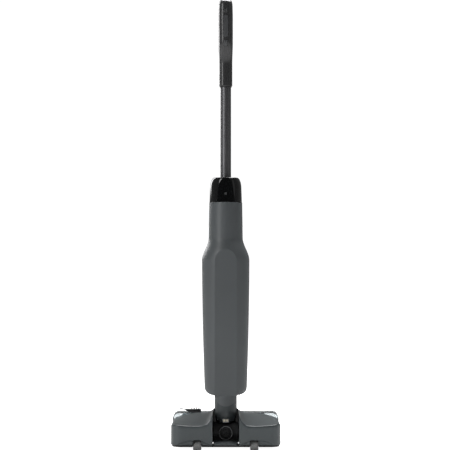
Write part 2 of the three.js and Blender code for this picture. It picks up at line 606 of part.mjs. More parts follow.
// ---------------------------------------------------------------- wheels
function buildWheels() {
  for (const [name, side] of [['left', -1], ['right', 1]]) {
    const middle = (side * WHEEL_TRACK) / 2;
    const half = WHEEL_WIDTH / 2;
    const across = [WHEEL_Y, AXLE_Z];
    const rim = WHEEL_RADIUS - TYRE_THICKNESS;
    const hub = turned('x', [[AXLE_RADIUS + FIT, middle - half], [rim, middle - half], [rim, middle + half],
      [AXLE_RADIUS + FIT, middle + half]], across, 24);
    part(`${name}_wheel_hub`, hub, BLACK_MATT);
    const tyre = turned('x', [[rim + FIT, middle - half], [WHEEL_RADIUS - 1.5, middle - half],
      [WHEEL_RADIUS - 0.4, middle - half + 2], [WHEEL_RADIUS, middle - half + 5],
      [WHEEL_RADIUS, middle + half - 5], [WHEEL_RADIUS - 0.4, middle + half - 2],
      [WHEEL_RADIUS - 1.5, middle + half], [rim + FIT, middle + half]],
    across, 32);
    part(`${name}_wheel_tyre`, tyre, RUBBER);
  }
}

// ---------------------------------------------------------------- tilt yoke
function buildYoke() {
  const axis = [AXIS_Y, TILT_AXIS_Z];
  const barrel = bar('x', YOKE_BARREL, -YOKE_HALF, YOKE_HALF, axis, 28);
  const boss = bar('y', CAP_DISC_RADIUS + 2, AXIS_Y - YOKE_BARREL - 1, AXIS_Y, [0, TILT_AXIS_Z], 24);
  const cheeks = box(-YOKE_HALF, YOKE_HALF, AXIS_Y - 8, AXIS_Y + YOKE_HALF, TILT_AXIS_Z, YOKE_EAR_TOP);
  const round = bar('z', YOKE_HALF, TILT_AXIS_Z, YOKE_EAR_TOP, [0, AXIS_Y], 28);
  const cup = common(cheeks, round);
  const room = NECK_RADIUS + FIT;
  const ball = new THREE.SphereGeometry(room, 28, 14);
  const socket = ball.rotateX(Math.PI / 2).translate(0, AXIS_Y, NECK_DOME_Z);
  const shaftRoom = bar('z', room, NECK_DOME_Z, LONG, [0, AXIS_Y], 28);
  const contactRoom = bar('z', CONTACT_REACH + 1.5, CONTACT_BOTTOM - 1, NECK_DOME_Z, [0, AXIS_Y], 20);
  const flow = bar('z', 12, TILT_AXIS_Z, LONG, [0, AXIS_Y], 16);
  const exit = bar('y', 12, AXIS_Y - 2, AXIS_Y + LONG, [0, TILT_AXIS_Z], 16);
  const pins = bar('x', PIVOT_RADIUS + FIT, YOKE_HALF - 13, LONG, axis, 16);
  const pinsLeft = bar('x', PIVOT_RADIUS + FIT, -LONG, -YOKE_HALF + 13, axis, 16);
  const yoke = cut(join(barrel, boss, cup), socket, shaftRoom, contactRoom, flow, exit, pins, pinsLeft);
  part('tilt_yoke', yoke, BLACK_MATT);

  const capFront = AXIS_Y - YOKE_BARREL - 1 - FIT;
  const disc = turned('y', [[0, capFront - 2.2], [CAP_DISC_RADIUS - 6, capFront - 2.8],
    [CAP_DISC_RADIUS - 1.5, capFront - 2], [CAP_DISC_RADIUS - 1.5, capFront],
    [0, capFront]], [0, TILT_AXIS_Z]);
  part('yoke_cap', disc, BLACK_GLOSS);
  const ringBore = CAP_DISC_RADIUS - 1.5 + FIT;
  const ring = turned('y', [[ringBore, capFront - 1.6], [CAP_DISC_RADIUS + 1, capFront - 1.6],
    [CAP_DISC_RADIUS + 1, capFront], [ringBore, capFront]], [0, TILT_AXIS_Z]);
  part('yoke_cap_ring', ring, RING_GREY);
}

const CONTACT_BOTTOM = 63;
const CONTACT_TOP = 73;
const CONTACT_REACH = NECK_RADIUS - 5.2;

// ---------------------------------------------------------------- neck
function buildNeck() {
  const top = BODY_BOTTOM - FIT;
  const outer = [[0, NECK_DOME_Z - NECK_RADIUS]];
  for (const angle of steps(-Math.PI / 2, 0, 7).slice(1)) {
    outer.push([NECK_RADIUS * Math.cos(angle), NECK_DOME_Z + NECK_RADIUS * Math.sin(angle)]);
  }
  outer.push([NECK_RADIUS, top], [0, top]);
  const body = turned('z', outer, [0, AXIS_Y], 28);
  const bore = bar('z', NECK_RADIUS - 8, NECK_DOME_Z - 4, top + 1, [0, AXIS_Y], 32);
  const throat = bar('z', 12, 0, NECK_DOME_Z, [0, AXIS_Y], 24);
  const holderSpace = box(-8.5, 8.5, -LONG, AXIS_Y - 14, CONTACT_BOTTOM - FIT, CONTACT_TOP + FIT);
  part('neck', cut(body, bore, throat, holderSpace), HEAD_GREY);

  const rear = AXIS_Y - CONTACT_REACH + 1;
  const holder = box(-8, 8, rear, AXIS_Y - 14 - FIT, CONTACT_BOTTOM, CONTACT_TOP);
  const pockets = [-1, 1].map((side) => (
    box(side * 3.5 - 2.8, side * 3.5 + 2.8, -LONG, rear + 1.5, CONTACT_BOTTOM + 2, CONTACT_TOP - 2)));
  part('contact_holder', cut(holder, ...pockets), BLACK_MATT);
  for (const [name, side] of [['left', -1], ['right', 1]]) {
    const pad = box(side * 3.5 - 2.4, side * 3.5 + 2.4, rear, rear + 1.1,
      CONTACT_BOTTOM + 2.4, CONTACT_TOP - 2.4);
    part(`${name}_charge_contact`, pad, GOLDEN);
  }
}

// ---------------------------------------------------------------- main body envelope
// Half width, back reach and front reach of the body at one height.
function bodySizes(z) {
  const below = clamp((SHOULDER_START - z) / (SHOULDER_START - BODY_BOTTOM), 0, 1.05);
  const flare = smooth((z - SHOULDER_START) / SHOULDER_HEIGHT);
  const column = clamp((z - SHOULDER_START - SHOULDER_HEIGHT) / (SHOULDER_BELOW_TOP - SHOULDER_HEIGHT), 0, 1);
  const lowWidth = BODY_WIDTH_HIGH - (BODY_WIDTH_HIGH - BODY_WIDTH_LOW) * below ** 1.6;
  const width = mix(lowWidth, mix(COLUMN_WIDTH, COLUMN_WIDTH_TOP, column), flare);
  // The flat of the back is one sloping plane. It ends in an arch where the round back falls below it.
  const flat = mix(REAR_HIGH, REAR_LOW, (SHOULDER_START - z) / (SHOULDER_START - BODY_BOTTOM));
  const front = mix(mix(FRONT_HIGH, FRONT_LOW, below ** 2), FRONT_COLUMN, flare);
  return { half: width / 2, flat, flare, back: REAR_COLUMN, front };
}

// One level ring of the body: round sides, a flat band at the back, a softly crowned front.
function bodyRing(z, inset, sizes = bodySizes(z)) {
  const round = inset > 0 ? 0 : cornerInset(z - BODY_BOTTOM, BOTTOM_ROUND);
  const half = sizes.half - inset - round;
  const flat = sizes.flat - inset;
  const front = sizes.front - inset - round * 0.6;
  const facet = Math.min(FACET_HALF, half * 0.8);
  const lowCrest = flat / Math.sqrt(1 - (facet / half) ** 2);
  const crest = mix(lowCrest, sizes.back - inset, sizes.flare);
  const ring = [];
  const side = [];
  const edge = Math.acos(clamp(flat / crest, 0, 0.998));
  for (const angle of steps(edge, Math.PI / 2, 5)) {
    side.push([half * Math.sin(angle), AXIS_Y - Math.min(crest * Math.cos(angle), flat), z]);
  }
  const cornerRadius = half * 0.55;
  for (const angle of steps(0, Math.PI / 2, 3).slice(1)) {
    const x = half - cornerRadius + cornerRadius * Math.cos(angle);
    const y = AXIS_Y + front - cornerRadius * 0.8 + cornerRadius * 0.8 * Math.sin(angle);
    side.push([x, y, z]);
  }
  ring.push(...side);
  ring.push([0, AXIS_Y + front + 1, z]);
  ring.push(...side.map(([x, y, zz]) => [-x, y, zz]).reverse());
  return ring;
}

function bodyLevels(bottom, top) {
  const levels = [0, 1.5, 5, 10, BOTTOM_ROUND].map((h) => BODY_BOTTOM + h);
  levels.push(...steps(BODY_BOTTOM + BOTTOM_ROUND, SHOULDER_START, 4));
  levels.push(...steps(SHOULDER_START, SHOULDER_START + SHOULDER_HEIGHT, 6), BODY_TOP);
  const inner = levels.filter((z, i) => z > bottom + 0.5 && z < top - 0.5 && levels.indexOf(z) === i);
  return [bottom, ...inner, top];
}

function envelope(bottom, top, inset = 0) {
  return loft(bodyLevels(bottom, top).map((z) => bodyRing(z, inset)));
}

const SEAM_Y = TANK_BACK_Y - FRAME_THICKNESS; // plane where the rear housing meets the front frame
const SHELF = 6;

function buildHousings() {
  const rearHalf = box(-LONG, LONG, -LONG, SEAM_Y - FIT, 0, LONG * 3);
  const outer = common(envelope(BODY_BOTTOM, BODY_TOP), rearHalf);
  const hollow = envelope(BODY_BOTTOM + SHELL, BODY_TOP + 5, SHELL);
  const neckHole = bar('z', NECK_RADIUS - 8, 0, BODY_BOTTOM + 20, [0, AXIS_Y], 32);
  // The back runs on downwards as a tongue with a round end, curved about the neck so that it swivels freely.
  const tongueTop = BODY_BOTTOM + 24;
  const tongueLow = BODY_BOTTOM - FACET_HALF;
  const tongueEdge = AXIS_Y - 8;
  const straight = box(-FACET_HALF, FACET_HALF, -LONG, tongueEdge, BODY_BOTTOM, tongueTop);
  const tip = bar('y', FACET_HALF, -LONG, tongueEdge, [0, BODY_BOTTOM], 32);
  const around = cut(bar('z', REAR_LOW, tongueLow - 1, tongueTop, [0, AXIS_Y], 64),
    bar('z', REAR_LOW - SHELL, tongueLow - 2, tongueTop + 1, [0, AXIS_Y], 64));
  const tongue = common(join(straight, tip), around);
  const release = bar('y', RELEASE_RADIUS + FIT, -LONG, AXIS_Y, [0, BODY_TOP + 21], 16);
  part('rear_housing', cut(join(cut(outer, hollow, neckHole), tongue), release), SATIN_GREY);

  // Front frame: a back plate for both tank bays, with shelves under, between and above them.
  const plateSpan = box(-LONG, LONG, SEAM_Y, TANK_BACK_Y, 0, LONG * 3);
  const plate = common(envelope(BODY_BOTTOM, BODY_TOP), plateSpan);
  const ahead = (z0, z1) => common(envelope(z0, z1), box(-LONG, LONG, SEAM_Y, LONG, 0, LONG * 3));
  const lowShelf = ahead(BODY_BOTTOM, DIRTY_TANK_BOTTOM - GAP);
  const middleShelf = ahead(CLEAN_TANK_BOTTOM - GAP - SHELF, CLEAN_TANK_BOTTOM - GAP);
  const topShelf = ahead(CLEAN_TANK_TOP + GAP, BODY_TOP);
  const inletHole = bar('y', 11, SEAM_Y - 5, TANK_BACK_Y + 5, [0, INLET_Z], 24);
  const airHole = bar('y', 9, SEAM_Y - 5, TANK_BACK_Y + 5, [22, INLET_Z], 20);
  const waterHole = bar('y', 5, SEAM_Y - 5, TANK_BACK_Y + 5, [-24, CLEAN_TANK_BOTTOM + 12], 16);
  const shelfLow = CLEAN_TANK_BOTTOM - GAP - SHELF;
  const latchRoom = box(-LATCH_HALF - 4, LATCH_HALF + 4, TANK_BACK_Y + 6, LONG,
    shelfLow - 1, shelfLow + SHELF + 0.5);
  const frame = join(plate, lowShelf, middleShelf, topShelf);
  part('front_frame', cut(frame, inletHole, airHole, waterHole, latchRoom), SATIN_GREY);
}

const INLET_Z = DIRTY_TANK_BOTTOM + DIRTY_TANK_HEIGHT - 20;
const LATCH_HALF = 12;
const LATCH_REAR = AXIS_Y + FRONT_LOW - 24;
const FILTER_RECESS = 5;
const LATCH_FLOOR = FILTER_RECESS + 2;
const BOARD_DROP = 27; // main board's top edge below the shoulder
const BOARD_HEIGHT = 95;
const BATTERY_GAP = 20; // between the battery and the board above it

// ---------------------------------------------------------------- inside the main body
function buildInsides() {
  const back = AXIS_Y - REAR_LOW;
  // Battery pack of two rows of round cells in a moulded tray.
  const batteryLow = BODY_BOTTOM + 34;
  const boardTop = SHOULDER_START - BOARD_DROP;
  const boardLow = boardTop - BOARD_HEIGHT;
  const tray = slab(-38, 38, back + 8, AXIS_Y - 3, batteryLow, boardLow - BATTERY_GAP, 8);
  part('battery_pack', tray, BATTERY_BLUE);

  // Water pump beside the hose, near the floor of the body.
  const pumpX = 34;
  const pump = join(bar('z', 11, BODY_BOTTOM + 30, BODY_BOTTOM + 76, [pumpX, AXIS_Y + 24], 20),
    box(pumpX - 9, pumpX + 9, AXIS_Y + 14, AXIS_Y + 34, BODY_BOTTOM + 76, BODY_BOTTOM + 96));
  part('water_pump', pump, MOTOR_GREY);

  // Hose from the neck up to the dirty tank's inlet.
  const hoseRadius = 10;
  const bendZ = INLET_Z;
  const hosePath = new THREE.CatmullRomCurve3([
    new THREE.Vector3(0, AXIS_Y + 18, BODY_BOTTOM + 8), new THREE.Vector3(0, AXIS_Y + 20, BODY_BOTTOM + 60),
    new THREE.Vector3(0, AXIS_Y + 20, bendZ - 60), new THREE.Vector3(0, AXIS_Y + 21, bendZ - 24),
    new THREE.Vector3(0, AXIS_Y + 30, bendZ - 5), new THREE.Vector3(0, SEAM_Y - GAP, bendZ)]);
  const ringShape = new THREE.Shape().absarc(0, 0, hoseRadius, 0, 2 * Math.PI, false);
  const boreShape = new THREE.Path().absarc(0, 0, hoseRadius - 2, 0, 2 * Math.PI, true);
  ringShape.holes.push(boreShape);
  const hose = new THREE.ExtrudeGeometry(ringShape, { steps: 14, curveSegments: 4, extrudePath: hosePath });
  part('suction_hose', hose, SEAL);

  // Suction motor: a turned case with an open eye at its lower end for the impeller.
  const motorLow = SHOULDER_START + 10;
  const across = [0, AXIS_Y + 2];
  const motor = turned('z', [[26, motorLow], [29, motorLow], [29, motorLow + 24], [24, motorLow + 30],
    [24, motorLow + 66], [5, motorLow + 66], [5, motorLow + 28], [26, motorLow + 22]], across, 32);
  part('suction_motor', motor, MOTOR_GREY);
  const gasket = turned('z', [[29 + FIT, motorLow + 4], [32, motorLow + 4], [32, motorLow + 14],
    [29 + FIT, motorLow + 14]], across, 32);
  part('motor_gasket', gasket, SEAL);

  // Impeller: hub disc with blades, on a shaft that runs up through the motor.
  const disc = turned('z', [[0, motorLow + 6], [24, motorLow + 6], [24, motorLow + 8], [7, motorLow + 10],
    [4, motorLow + 18], [4, motorLow + 60], [0, motorLow + 60]], across, 24);
  const blades = steps(0, 1, 9).slice(1).map((t) => (
    box(5, 23, -0.8, 0.8, motorLow + 7, motorLow + 15)
      .rotateZ(2 * Math.PI * t).translate(across[0], across[1], 0)));
  part('impeller', join(disc, ...blades), RING_GREY);

  // Main board on the back of the front frame and the display board under the cap.
  part('main_board', box(-34, 34, back + 4, back + 4 + THIN, boardLow, boardTop), BOARD);
}

// ---------------------------------------------------------------- tanks
function tankBlock(bottom, top) {
  const ahead = box(-LONG, LONG, TANK_BACK_Y + GAP, LONG, 0, LONG * 3);
  return common(envelope(bottom, top), ahead);
}

function tankInside(bottom, top) {
  const ahead = box(-LONG, LONG, TANK_BACK_Y + GAP + TANK_WALL, LONG, 0, LONG * 3);
  return common(envelope(bottom, top, TANK_WALL), ahead);
}

function buildTanks() {
  const low = DIRTY_TANK_BOTTOM;
  const rim = low + DIRTY_TANK_HEIGHT;
  const lidTop = rim + LID_HEIGHT;
  const inlet = bar('y', 11.5, 0, TANK_BACK_Y + 8, [0, INLET_Z], 24);
  const outlet = bar('y', 9.5, 0, TANK_BACK_Y + 8, [22, INLET_Z], 20);
  const bucket = cut(tankBlock(low, rim - FIT), tankInside(low + TANK_WALL, rim + 5), inlet, outlet);
  part('dirty_tank', bucket, SMOKE);
  const lidBody = tankBlock(rim, lidTop - 1);
  const filterSeat = slab(-24, 24, TANK_BACK_Y + 9, TANK_BACK_Y + 37, rim - 1, rim + FILTER_RECESS, 6);
  const latchSeat = slab(-LATCH_HALF, LATCH_HALF, LATCH_REAR, LATCH_REAR + 16,
    rim + LATCH_FLOOR, LONG * 3, 4);
  part('dirty_tank_lid', cut(lidBody, filterSeat, latchSeat), BLACK_MATT);
  const filter = slab(-24 + FIT, 24 - FIT, TANK_BACK_Y + 9 + FIT, TANK_BACK_Y + 37 - FIT,
    rim - 16, rim + FILTER_RECESS - FIT, 5.6);
  part('tank_filter', filter, NAP);
  const latch = slab(-LATCH_HALF + FIT, LATCH_HALF - FIT, LATCH_REAR + FIT, LATCH_REAR + 16 - FIT,
    rim + LATCH_FLOOR + FIT + BUTTON_TRAVEL, lidTop + 1.5, 3.6);
  part('tank_latch', latch, RING_GREY);

  const cleanLow = CLEAN_TANK_BOTTOM;
  const cleanTop = CLEAN_TANK_TOP;
  const fillZ = cleanTop - 30;
  const frontY = AXIS_Y + bodySizes(fillZ).front;
  const mouth = bar('y', FILL_RADIUS, frontY - 12, frontY + 10, [0, fillZ], 20);
  const valve = bar('y', 5, 0, TANK_BACK_Y + 12, [-24, cleanLow + 12], 16);
  // The tank is moulded open at the back, and a plate is welded over its open side.
  const plateFront = TANK_BACK_Y + GAP + TANK_WALL;
  const behind = box(-LONG, LONG, 0, plateFront + FIT, 0, LONG * 3);
  const inside = tankInside(cleanLow + TANK_WALL, cleanTop - TANK_WALL);
  part('clean_tank', cut(tankBlock(cleanLow, cleanTop), inside, mouth, behind), CLEAR);
  const plateRoom = box(-LONG, LONG, 0, plateFront, 0, LONG * 3);
  part('clean_tank_plate', cut(common(tankBlock(cleanLow, cleanTop), plateRoom), valve), CLEAR);
  const stem = bar('y', FILL_RADIUS - FIT, frontY - 6, frontY + 3, [0, fillZ], 20);
  const lip = bar('y', FILL_RADIUS + 4, frontY + 1 + FIT, frontY + 3.5, [0, fillZ], 24);
  part('fill_cap', join(stem, lip), SEAL);
}

// ---------------------------------------------------------------- glossy cap
function capSizes(z) {
  const low = bodySizes(BODY_TOP);
  const rise = z - (CAP_TOP - CAP_SHOULDER);
  const shoulder = rise > 0 ? 1 - Math.sqrt(1 - clamp(rise / CAP_SHOULDER, 0, 1) ** 2) : 0;
  const taper = ((z - CAP_BOTTOM) / CAP_HEIGHT) * 4;
  const topHalf = CAP_TOP_WIDTH / 2;
  const half = mix(low.half - 0.8 - taper / 2, topHalf, shoulder);
  const back = mix(low.back - 1 - taper, low.back - 9, shoulder);
  const front = mix(low.front - 1, low.front - 16, shoulder);
  return { half, flat: CAP_FLAT, flare: 1, back, front };
}

function capBody(inset, bottom, top) {
  const levels = [bottom, CAP_BOTTOM + 18];
  levels.push(...steps(CAP_TOP - CAP_SHOULDER, CAP_TOP, 4).filter((z) => z < top - 0.2), top);
  return loft(levels.map((z) => bodyRing(Math.max(z, BODY_BOTTOM + BOTTOM_ROUND), inset, capSizes(z))
    .map(([x, y]) => [x, y, z])));
}

const RELEASE_Z = BODY_TOP + 21;
const PANEL_DEPTH = 0.4; // how deep the back panel is let in
const SLOPE_TURN = 0.62; // lean of the display face, in radians
const SLOPE_Y = AXIS_Y + TUBE_RADIUS + 8;

// A block that is turned to lie on the sloping display face.
function onSlope(geometry) {
  return geometry.rotateX(-SLOPE_TURN).translate(0, SLOPE_Y, CAP_TOP - 1);
}

function buildCap() {
  const outer = capBody(0, CAP_BOTTOM, CAP_TOP);
  const hollow = capBody(SHELL, CAP_BOTTOM - 1, CAP_TOP - 3.5);
  const collarTop = CAP_TOP - 3;
  const sleeve = bar('z', TUBE_RADIUS + FIT + 3, CAP_BOTTOM + 4, collarTop, [0, AXIS_Y], 32);
  const tubeRoom = bar('z', TUBE_RADIUS + FIT, 0, LONG * 3, [0, AXIS_Y], 32);
  const aheadOfSlope = onSlope(box(-LONG, LONG, 0, LONG, 0, LONG));
  const underSlope = onSlope(box(-LONG, LONG, SHELL, LONG, -SHELL, LONG));
  const seatHalf = 25;
  const seat = onSlope(slab(-seatHalf, seatHalf, 5, 45, -1.6, 30, 12));
  const panelRoom = panel(-CAP_PANEL_HALF - FIT, CAP_PANEL_HALF + FIT, CAP_BOTTOM + 2, CAP_TOP - 12,
    -LONG, CAP_PANEL_REAR + SHELL + FIT, 14);
  const releaseHole = bar('y', RELEASE_RADIUS + FIT, -LONG, AXIS_Y, [0, RELEASE_Z], 16);
  const shell = cut(outer, cut(hollow, underSlope), aheadOfSlope, panelRoom);
  part('top_cap', cut(join(shell, sleeve), tubeRoom, seat, releaseHole), BLACK_GLOSS);

  const plate = panel(-CAP_PANEL_HALF, CAP_PANEL_HALF, CAP_BOTTOM + 2 + FIT, CAP_TOP - 12 - FIT,
    CAP_PANEL_REAR, CAP_PANEL_REAR + SHELL, 14);
  const plateHole = bar('y', RELEASE_RADIUS + FIT, -LONG, AXIS_Y, [0, RELEASE_Z], 16);
  part('cap_back_panel', cut(plate, plateHole), BLACK_GLOSS);
  const lens = slab(-seatHalf + FIT, seatHalf - FIT, 5 + FIT, 45 - FIT, -1.6 + FIT, 0, 11.6);
  part('display_lens', onSlope(lens), BLACK_GLOSS);
  const board = onSlope(slab(-20, 20, 14, 40, -SHELL - 1 - THIN, -SHELL - 1, 4));
  part('display_board', board, BOARD);

  // Release button: a round pin that reaches in to the handle tube.
  const pinFront = AXIS_Y - TUBE_RADIUS - FIT - BUTTON_TRAVEL;
  const pin = bar('y', RELEASE_RADIUS, CAP_PANEL_REAR - 1, pinFront, [0, RELEASE_Z], 16);
  part('handle_release', pin, RING_GREY);
}

const CAP_PANEL_HALF = 20;
const CAP_PANEL_REAR = AXIS_Y - CAP_FLAT + PANEL_DEPTH;

// ---------------------------------------------------------------- handle
// Width, back reach and front reach of the grip at a height above its lower end.
function gripSizes(z) {
  const rise = (z - GRIP_BOTTOM) / GRIP_HEIGHT;
  const bulge = smooth(rise / 0.34);
  const lean = smooth(rise / 0.9);
  const fromTop = GRIP_TOP - z;
  const round = cornerInset(fromTop, 14);
  const taper = 3 * smooth((rise - 0.72) / 0.28);
  const half = mix(SLEEVE_WIDTH, GRIP_WIDTH, bulge) / 2 - round * 0.32 - taper * 0.3;
  const rear = SLEEVE_WIDTH / 2 + 26 * bulge + 8 * smooth(rise / 0.8) - round * 0.8;
  const front = SLEEVE_WIDTH / 2 - 8 * bulge - 20 * lean - round * 0.4;
  return { half, rear, front };
}

function gripRing(z, inset) {
  const { half, rear, front } = gripSizes(z);
  const middle = AXIS_Y + (front - rear) / 2;
  const depth = (front + rear) / 2 - inset;
  const ring = [];
  for (const t of steps(0, 2 * Math.PI, 20).slice(1)) {
    const c = Math.cos(t);
    const s = Math.sin(t);
    const power = 0.82;
    const x = (half - inset) * Math.sign(c) * Math.abs(c) ** power;
    const y = middle + depth * Math.sign(s) * Math.abs(s) ** power;
    ring.push([x, y, z]);
  }
  return ring;
}

function gripSkin(inset, bottom, top) {
  const levels = [bottom, GRIP_BOTTOM, ...steps(GRIP_BOTTOM, GRIP_TOP - 14, 9).slice(1)];
  levels.push(...steps(0, Math.PI / 2, 3).slice(1).map((a) => GRIP_TOP - 14 + 14 * Math.sin(a)));
  const kept = levels.filter((z) => z > bottom + 0.2 && z < top - 0.2);
  return loft([bottom, ...kept, top].map((z) => gripRing(z, inset)));
}

function buildHandle() {
  const tubeLow = CAP_TOP - TUBE_INSERT;
  const tubeTop = GRIP_BOTTOM - 6;
  const tube = turned('z', [[TUBE_RADIUS - TUBE_WALL, tubeLow], [TUBE_RADIUS, tubeLow],
    [TUBE_RADIUS, tubeTop], [TUBE_RADIUS - TUBE_WALL, tubeTop]], [0, AXIS_Y], 40);
  part('handle_tube', tube, TUBE_METAL);

  const tubeRoom = bar('z', TUBE_RADIUS + FIT, 0, tubeTop + FIT, [0, AXIS_Y], 40);
  const inside = gripSkin(SHELL, tubeTop + FIT - 1, GRIP_TOP - SHELL - 1);
  const stripBottom = GRIP_BOTTOM + 62;
  const stripTop = GRIP_BOTTOM + 116;
  const rearAt = (z) => AXIS_Y - gripSizes(z).rear;
  const stripRoom = box(-6 - FIT, 6 + FIT, -LONG, rearAt(stripBottom) + 2.4,
    stripBottom - FIT, stripTop + FIT);
  const powerZ = stripTop + 10;
  const modeZ = stripBottom - 14;
  const powerRoom = bar('y', BUTTON_RADIUS + FIT, -LONG, rearAt(powerZ) + 9, [0, powerZ], 20);
  const modeRoom = panel(-4.5 - FIT, 4.5 + FIT, modeZ - 7.5 - FIT, modeZ + 7.5 + FIT,
    -LONG, rearAt(modeZ) + 12, 3);
  const outer = gripSkin(0, SLEEVE_BOTTOM, GRIP_TOP);
  part('grip', cut(outer, tubeRoom, inside, stripRoom, powerRoom, modeRoom), GRIP_PLASTIC);

  // A pale strip let into the back of the grip, following its outer face.
  const stripBlock = box(-6, 6, -LONG, rearAt(stripBottom) + 2.4 - FIT, stripBottom, stripTop);
  part('grip_strip', common(stripBlock, gripSkin(0.3, SLEEVE_BOTTOM, GRIP_TOP)), STRIP_GREY);
  const collar = turned('z', [[TUBE_RADIUS + FIT, SLEEVE_BOTTOM - 3], [TUBE_RADIUS + 1.4, SLEEVE_BOTTOM - 3],
    [TUBE_RADIUS + 1.4, SLEEVE_BOTTOM - FIT], [TUBE_RADIUS + FIT, SLEEVE_BOTTOM - FIT]], [0, AXIS_Y], 32);
  part('handle_collar', collar, BLACK_MATT);

  const power = bar('y', BUTTON_RADIUS, rearAt(powerZ) - 1, rearAt(powerZ) + 6, [0, powerZ], 20);
  part('power_button', power, RING_GREY);
  const mode = panel(-4.5, 4.5, modeZ - 7.5, modeZ + 7.5, rearAt(modeZ) - 0.6, rearAt(modeZ) + 6, 2.6);
  part('mode_button', mode, GRIP_PLASTIC);
}

// ---------------------------------------------------------------- assembly
buildLobes();
buildBase();
buildHeadCovers();
buildDrive();
buildRoller();
buildBrushCover();
buildWheels();
buildYoke();
buildNeck();
buildHousings();
buildInsides();
buildTanks();
buildCap();
buildHandle();

export default machine;
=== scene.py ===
# %% [markdown]
# # An upright wet and dry floor scrubber
#
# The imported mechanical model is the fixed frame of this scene: it says where every piece is and
# how it moves. This script gives the machine its looks. Visible mouldings are rebuilt as fine,
# smooth shells over the same sizes, inner pieces keep their mechanical shape and get a finish,
# and each new piece rides on the body it belongs to.

# %% Load the frame
import math

import bmesh
import bpy
from mathutils import Matrix, Vector


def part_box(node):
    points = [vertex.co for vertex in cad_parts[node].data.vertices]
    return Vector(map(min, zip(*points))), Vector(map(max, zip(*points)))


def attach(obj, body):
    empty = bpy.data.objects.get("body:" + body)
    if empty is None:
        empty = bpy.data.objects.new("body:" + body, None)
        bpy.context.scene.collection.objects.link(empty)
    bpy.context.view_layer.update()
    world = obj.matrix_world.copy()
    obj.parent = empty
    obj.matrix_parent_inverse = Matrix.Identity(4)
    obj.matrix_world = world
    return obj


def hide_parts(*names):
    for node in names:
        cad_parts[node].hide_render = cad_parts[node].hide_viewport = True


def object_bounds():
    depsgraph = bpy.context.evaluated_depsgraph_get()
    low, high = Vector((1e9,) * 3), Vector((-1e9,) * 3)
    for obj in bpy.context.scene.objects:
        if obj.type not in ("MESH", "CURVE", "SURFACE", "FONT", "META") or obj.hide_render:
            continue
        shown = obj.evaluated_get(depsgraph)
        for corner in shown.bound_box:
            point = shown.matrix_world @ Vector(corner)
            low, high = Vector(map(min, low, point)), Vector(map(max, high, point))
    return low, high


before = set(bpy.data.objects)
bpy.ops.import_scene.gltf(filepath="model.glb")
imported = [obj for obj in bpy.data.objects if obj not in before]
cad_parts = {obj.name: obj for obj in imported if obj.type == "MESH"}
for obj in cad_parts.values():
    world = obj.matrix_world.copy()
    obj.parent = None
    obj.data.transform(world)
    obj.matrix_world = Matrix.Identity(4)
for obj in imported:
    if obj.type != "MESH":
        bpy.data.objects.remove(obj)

cad_low, cad_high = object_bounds()
MM = 0.001
print("mechanical box in mm:", [round(v / MM) for v in (cad_high - cad_low)])

# %% [markdown]
# ## Camera
#
# A product view of something tall and thin is taken from far away with a long lens, because a
# short lens would make the head look huge and the handle tiny. The camera stands square behind
# the machine at half its height, so upright lines stay upright without any tilt or shift.

# %% Camera
FRAME_SPAN = 1.0998  # how much of the world the square view covers at the machine, in metres
CAMERA_DISTANCE = 4.0
NEAR_PLANE_Y = -0.095  # the back of the machine, which the view's scale is set on
CAMERA_X, CAMERA_Z = -0.0018, 0.5494
SENSOR = 36.0


def new_object(name, data):
    obj = bpy.data.objects.new(name, data)
    bpy.context.scene.collection.objects.link(obj)
    return obj


camera_data = bpy.data.cameras.new("long_lens")
camera_data.sensor_width = SENSOR
camera_data.lens = SENSOR * CAMERA_DISTANCE / FRAME_SPAN
camera = new_object("camera", camera_data)
camera.location = (CAMERA_X, NEAR_PLANE_Y - CAMERA_DISTANCE, CAMERA_Z)
camera.rotation_euler = (math.pi / 2, 0, 0)
bpy.context.scene.camera = camera
print(f"lens {camera_data.lens:.0f} mm at {CAMERA_DISTANCE} m")

# %% [markdown]
# ## Colour
#
# Colours are picked as they look on a screen, which is sRGB. Shaders work in linear light, so one
# function turns a hex value into linear numbers. The Standard view shows them as they were
# picked.

# %% Colour
bpy.context.scene.view_settings.view_transform = "Standard"


def linear(hex_value, alpha=1.0):
    channels = [int(hex_value[i:i + 2], 16) / 255 for i in (1, 3, 5)]
    spread = [c / 12.92 if c <= 0.04045 else ((c + 0.055) / 1.055) ** 2.4 for c in channels]
    return (*spread, alpha)


# %% [markdown]
# ## One helper for shader nodes
#
# Every material below is a small graph of nodes. One function adds a node, fills its sockets or
# settings by name, and links what feeds it, so that a material reads from top to bottom like a
# recipe.

# %% Shader helper
def add_node(tree, kind, values=None, links=None):
    made = tree.nodes.new(kind)
    for key, value in (values or {}).items():
        if key in made.inputs:
            made.inputs[key].default_value = value
        else:
            setattr(made, key, value)
    for socket, source in (links or {}).items():
        tree.links.new(source, made.inputs[socket])
    return made


def new_material(name, **principled):
    material = bpy.data.materials.new(name)
    material.use_nodes = True
    tree = material.node_tree
    shader = tree.nodes["Principled BSDF"]
    for key, value in principled.items():
        shader.inputs[key.replace("_", " ")].default_value = value
    place = add_node(tree, "ShaderNodeTexCoord")
    print("material:", name)
    return material, tree, shader, place.outputs["Object"]


def set_stops(ramp, *stops):
    """Fills a colour ramp from its low end: each stop is (position, linear colour)."""
    for element, (position, colour) in zip(ramp.color_ramp.elements, stops):
        element.position = position
        element.color = colour


def per_metre(millimetres):
    """Texture scale for a pattern that repeats at a real size."""
    return 1000.0 / millimetres


# %% [markdown]
# ## Moulded plastics
#
# Most of the machine is injection moulded ABS. The mould is spark-eroded, which leaves a fine
# even grain that turns reflections into soft gradients. The real grain is about 0.1 mm, too fine
# to show, so it is drawn at 0.8 mm. A slow, faint change of tone keeps large faces from looking
# painted on a computer.

# %% Moulded plastic
DRIFT_MM = 140


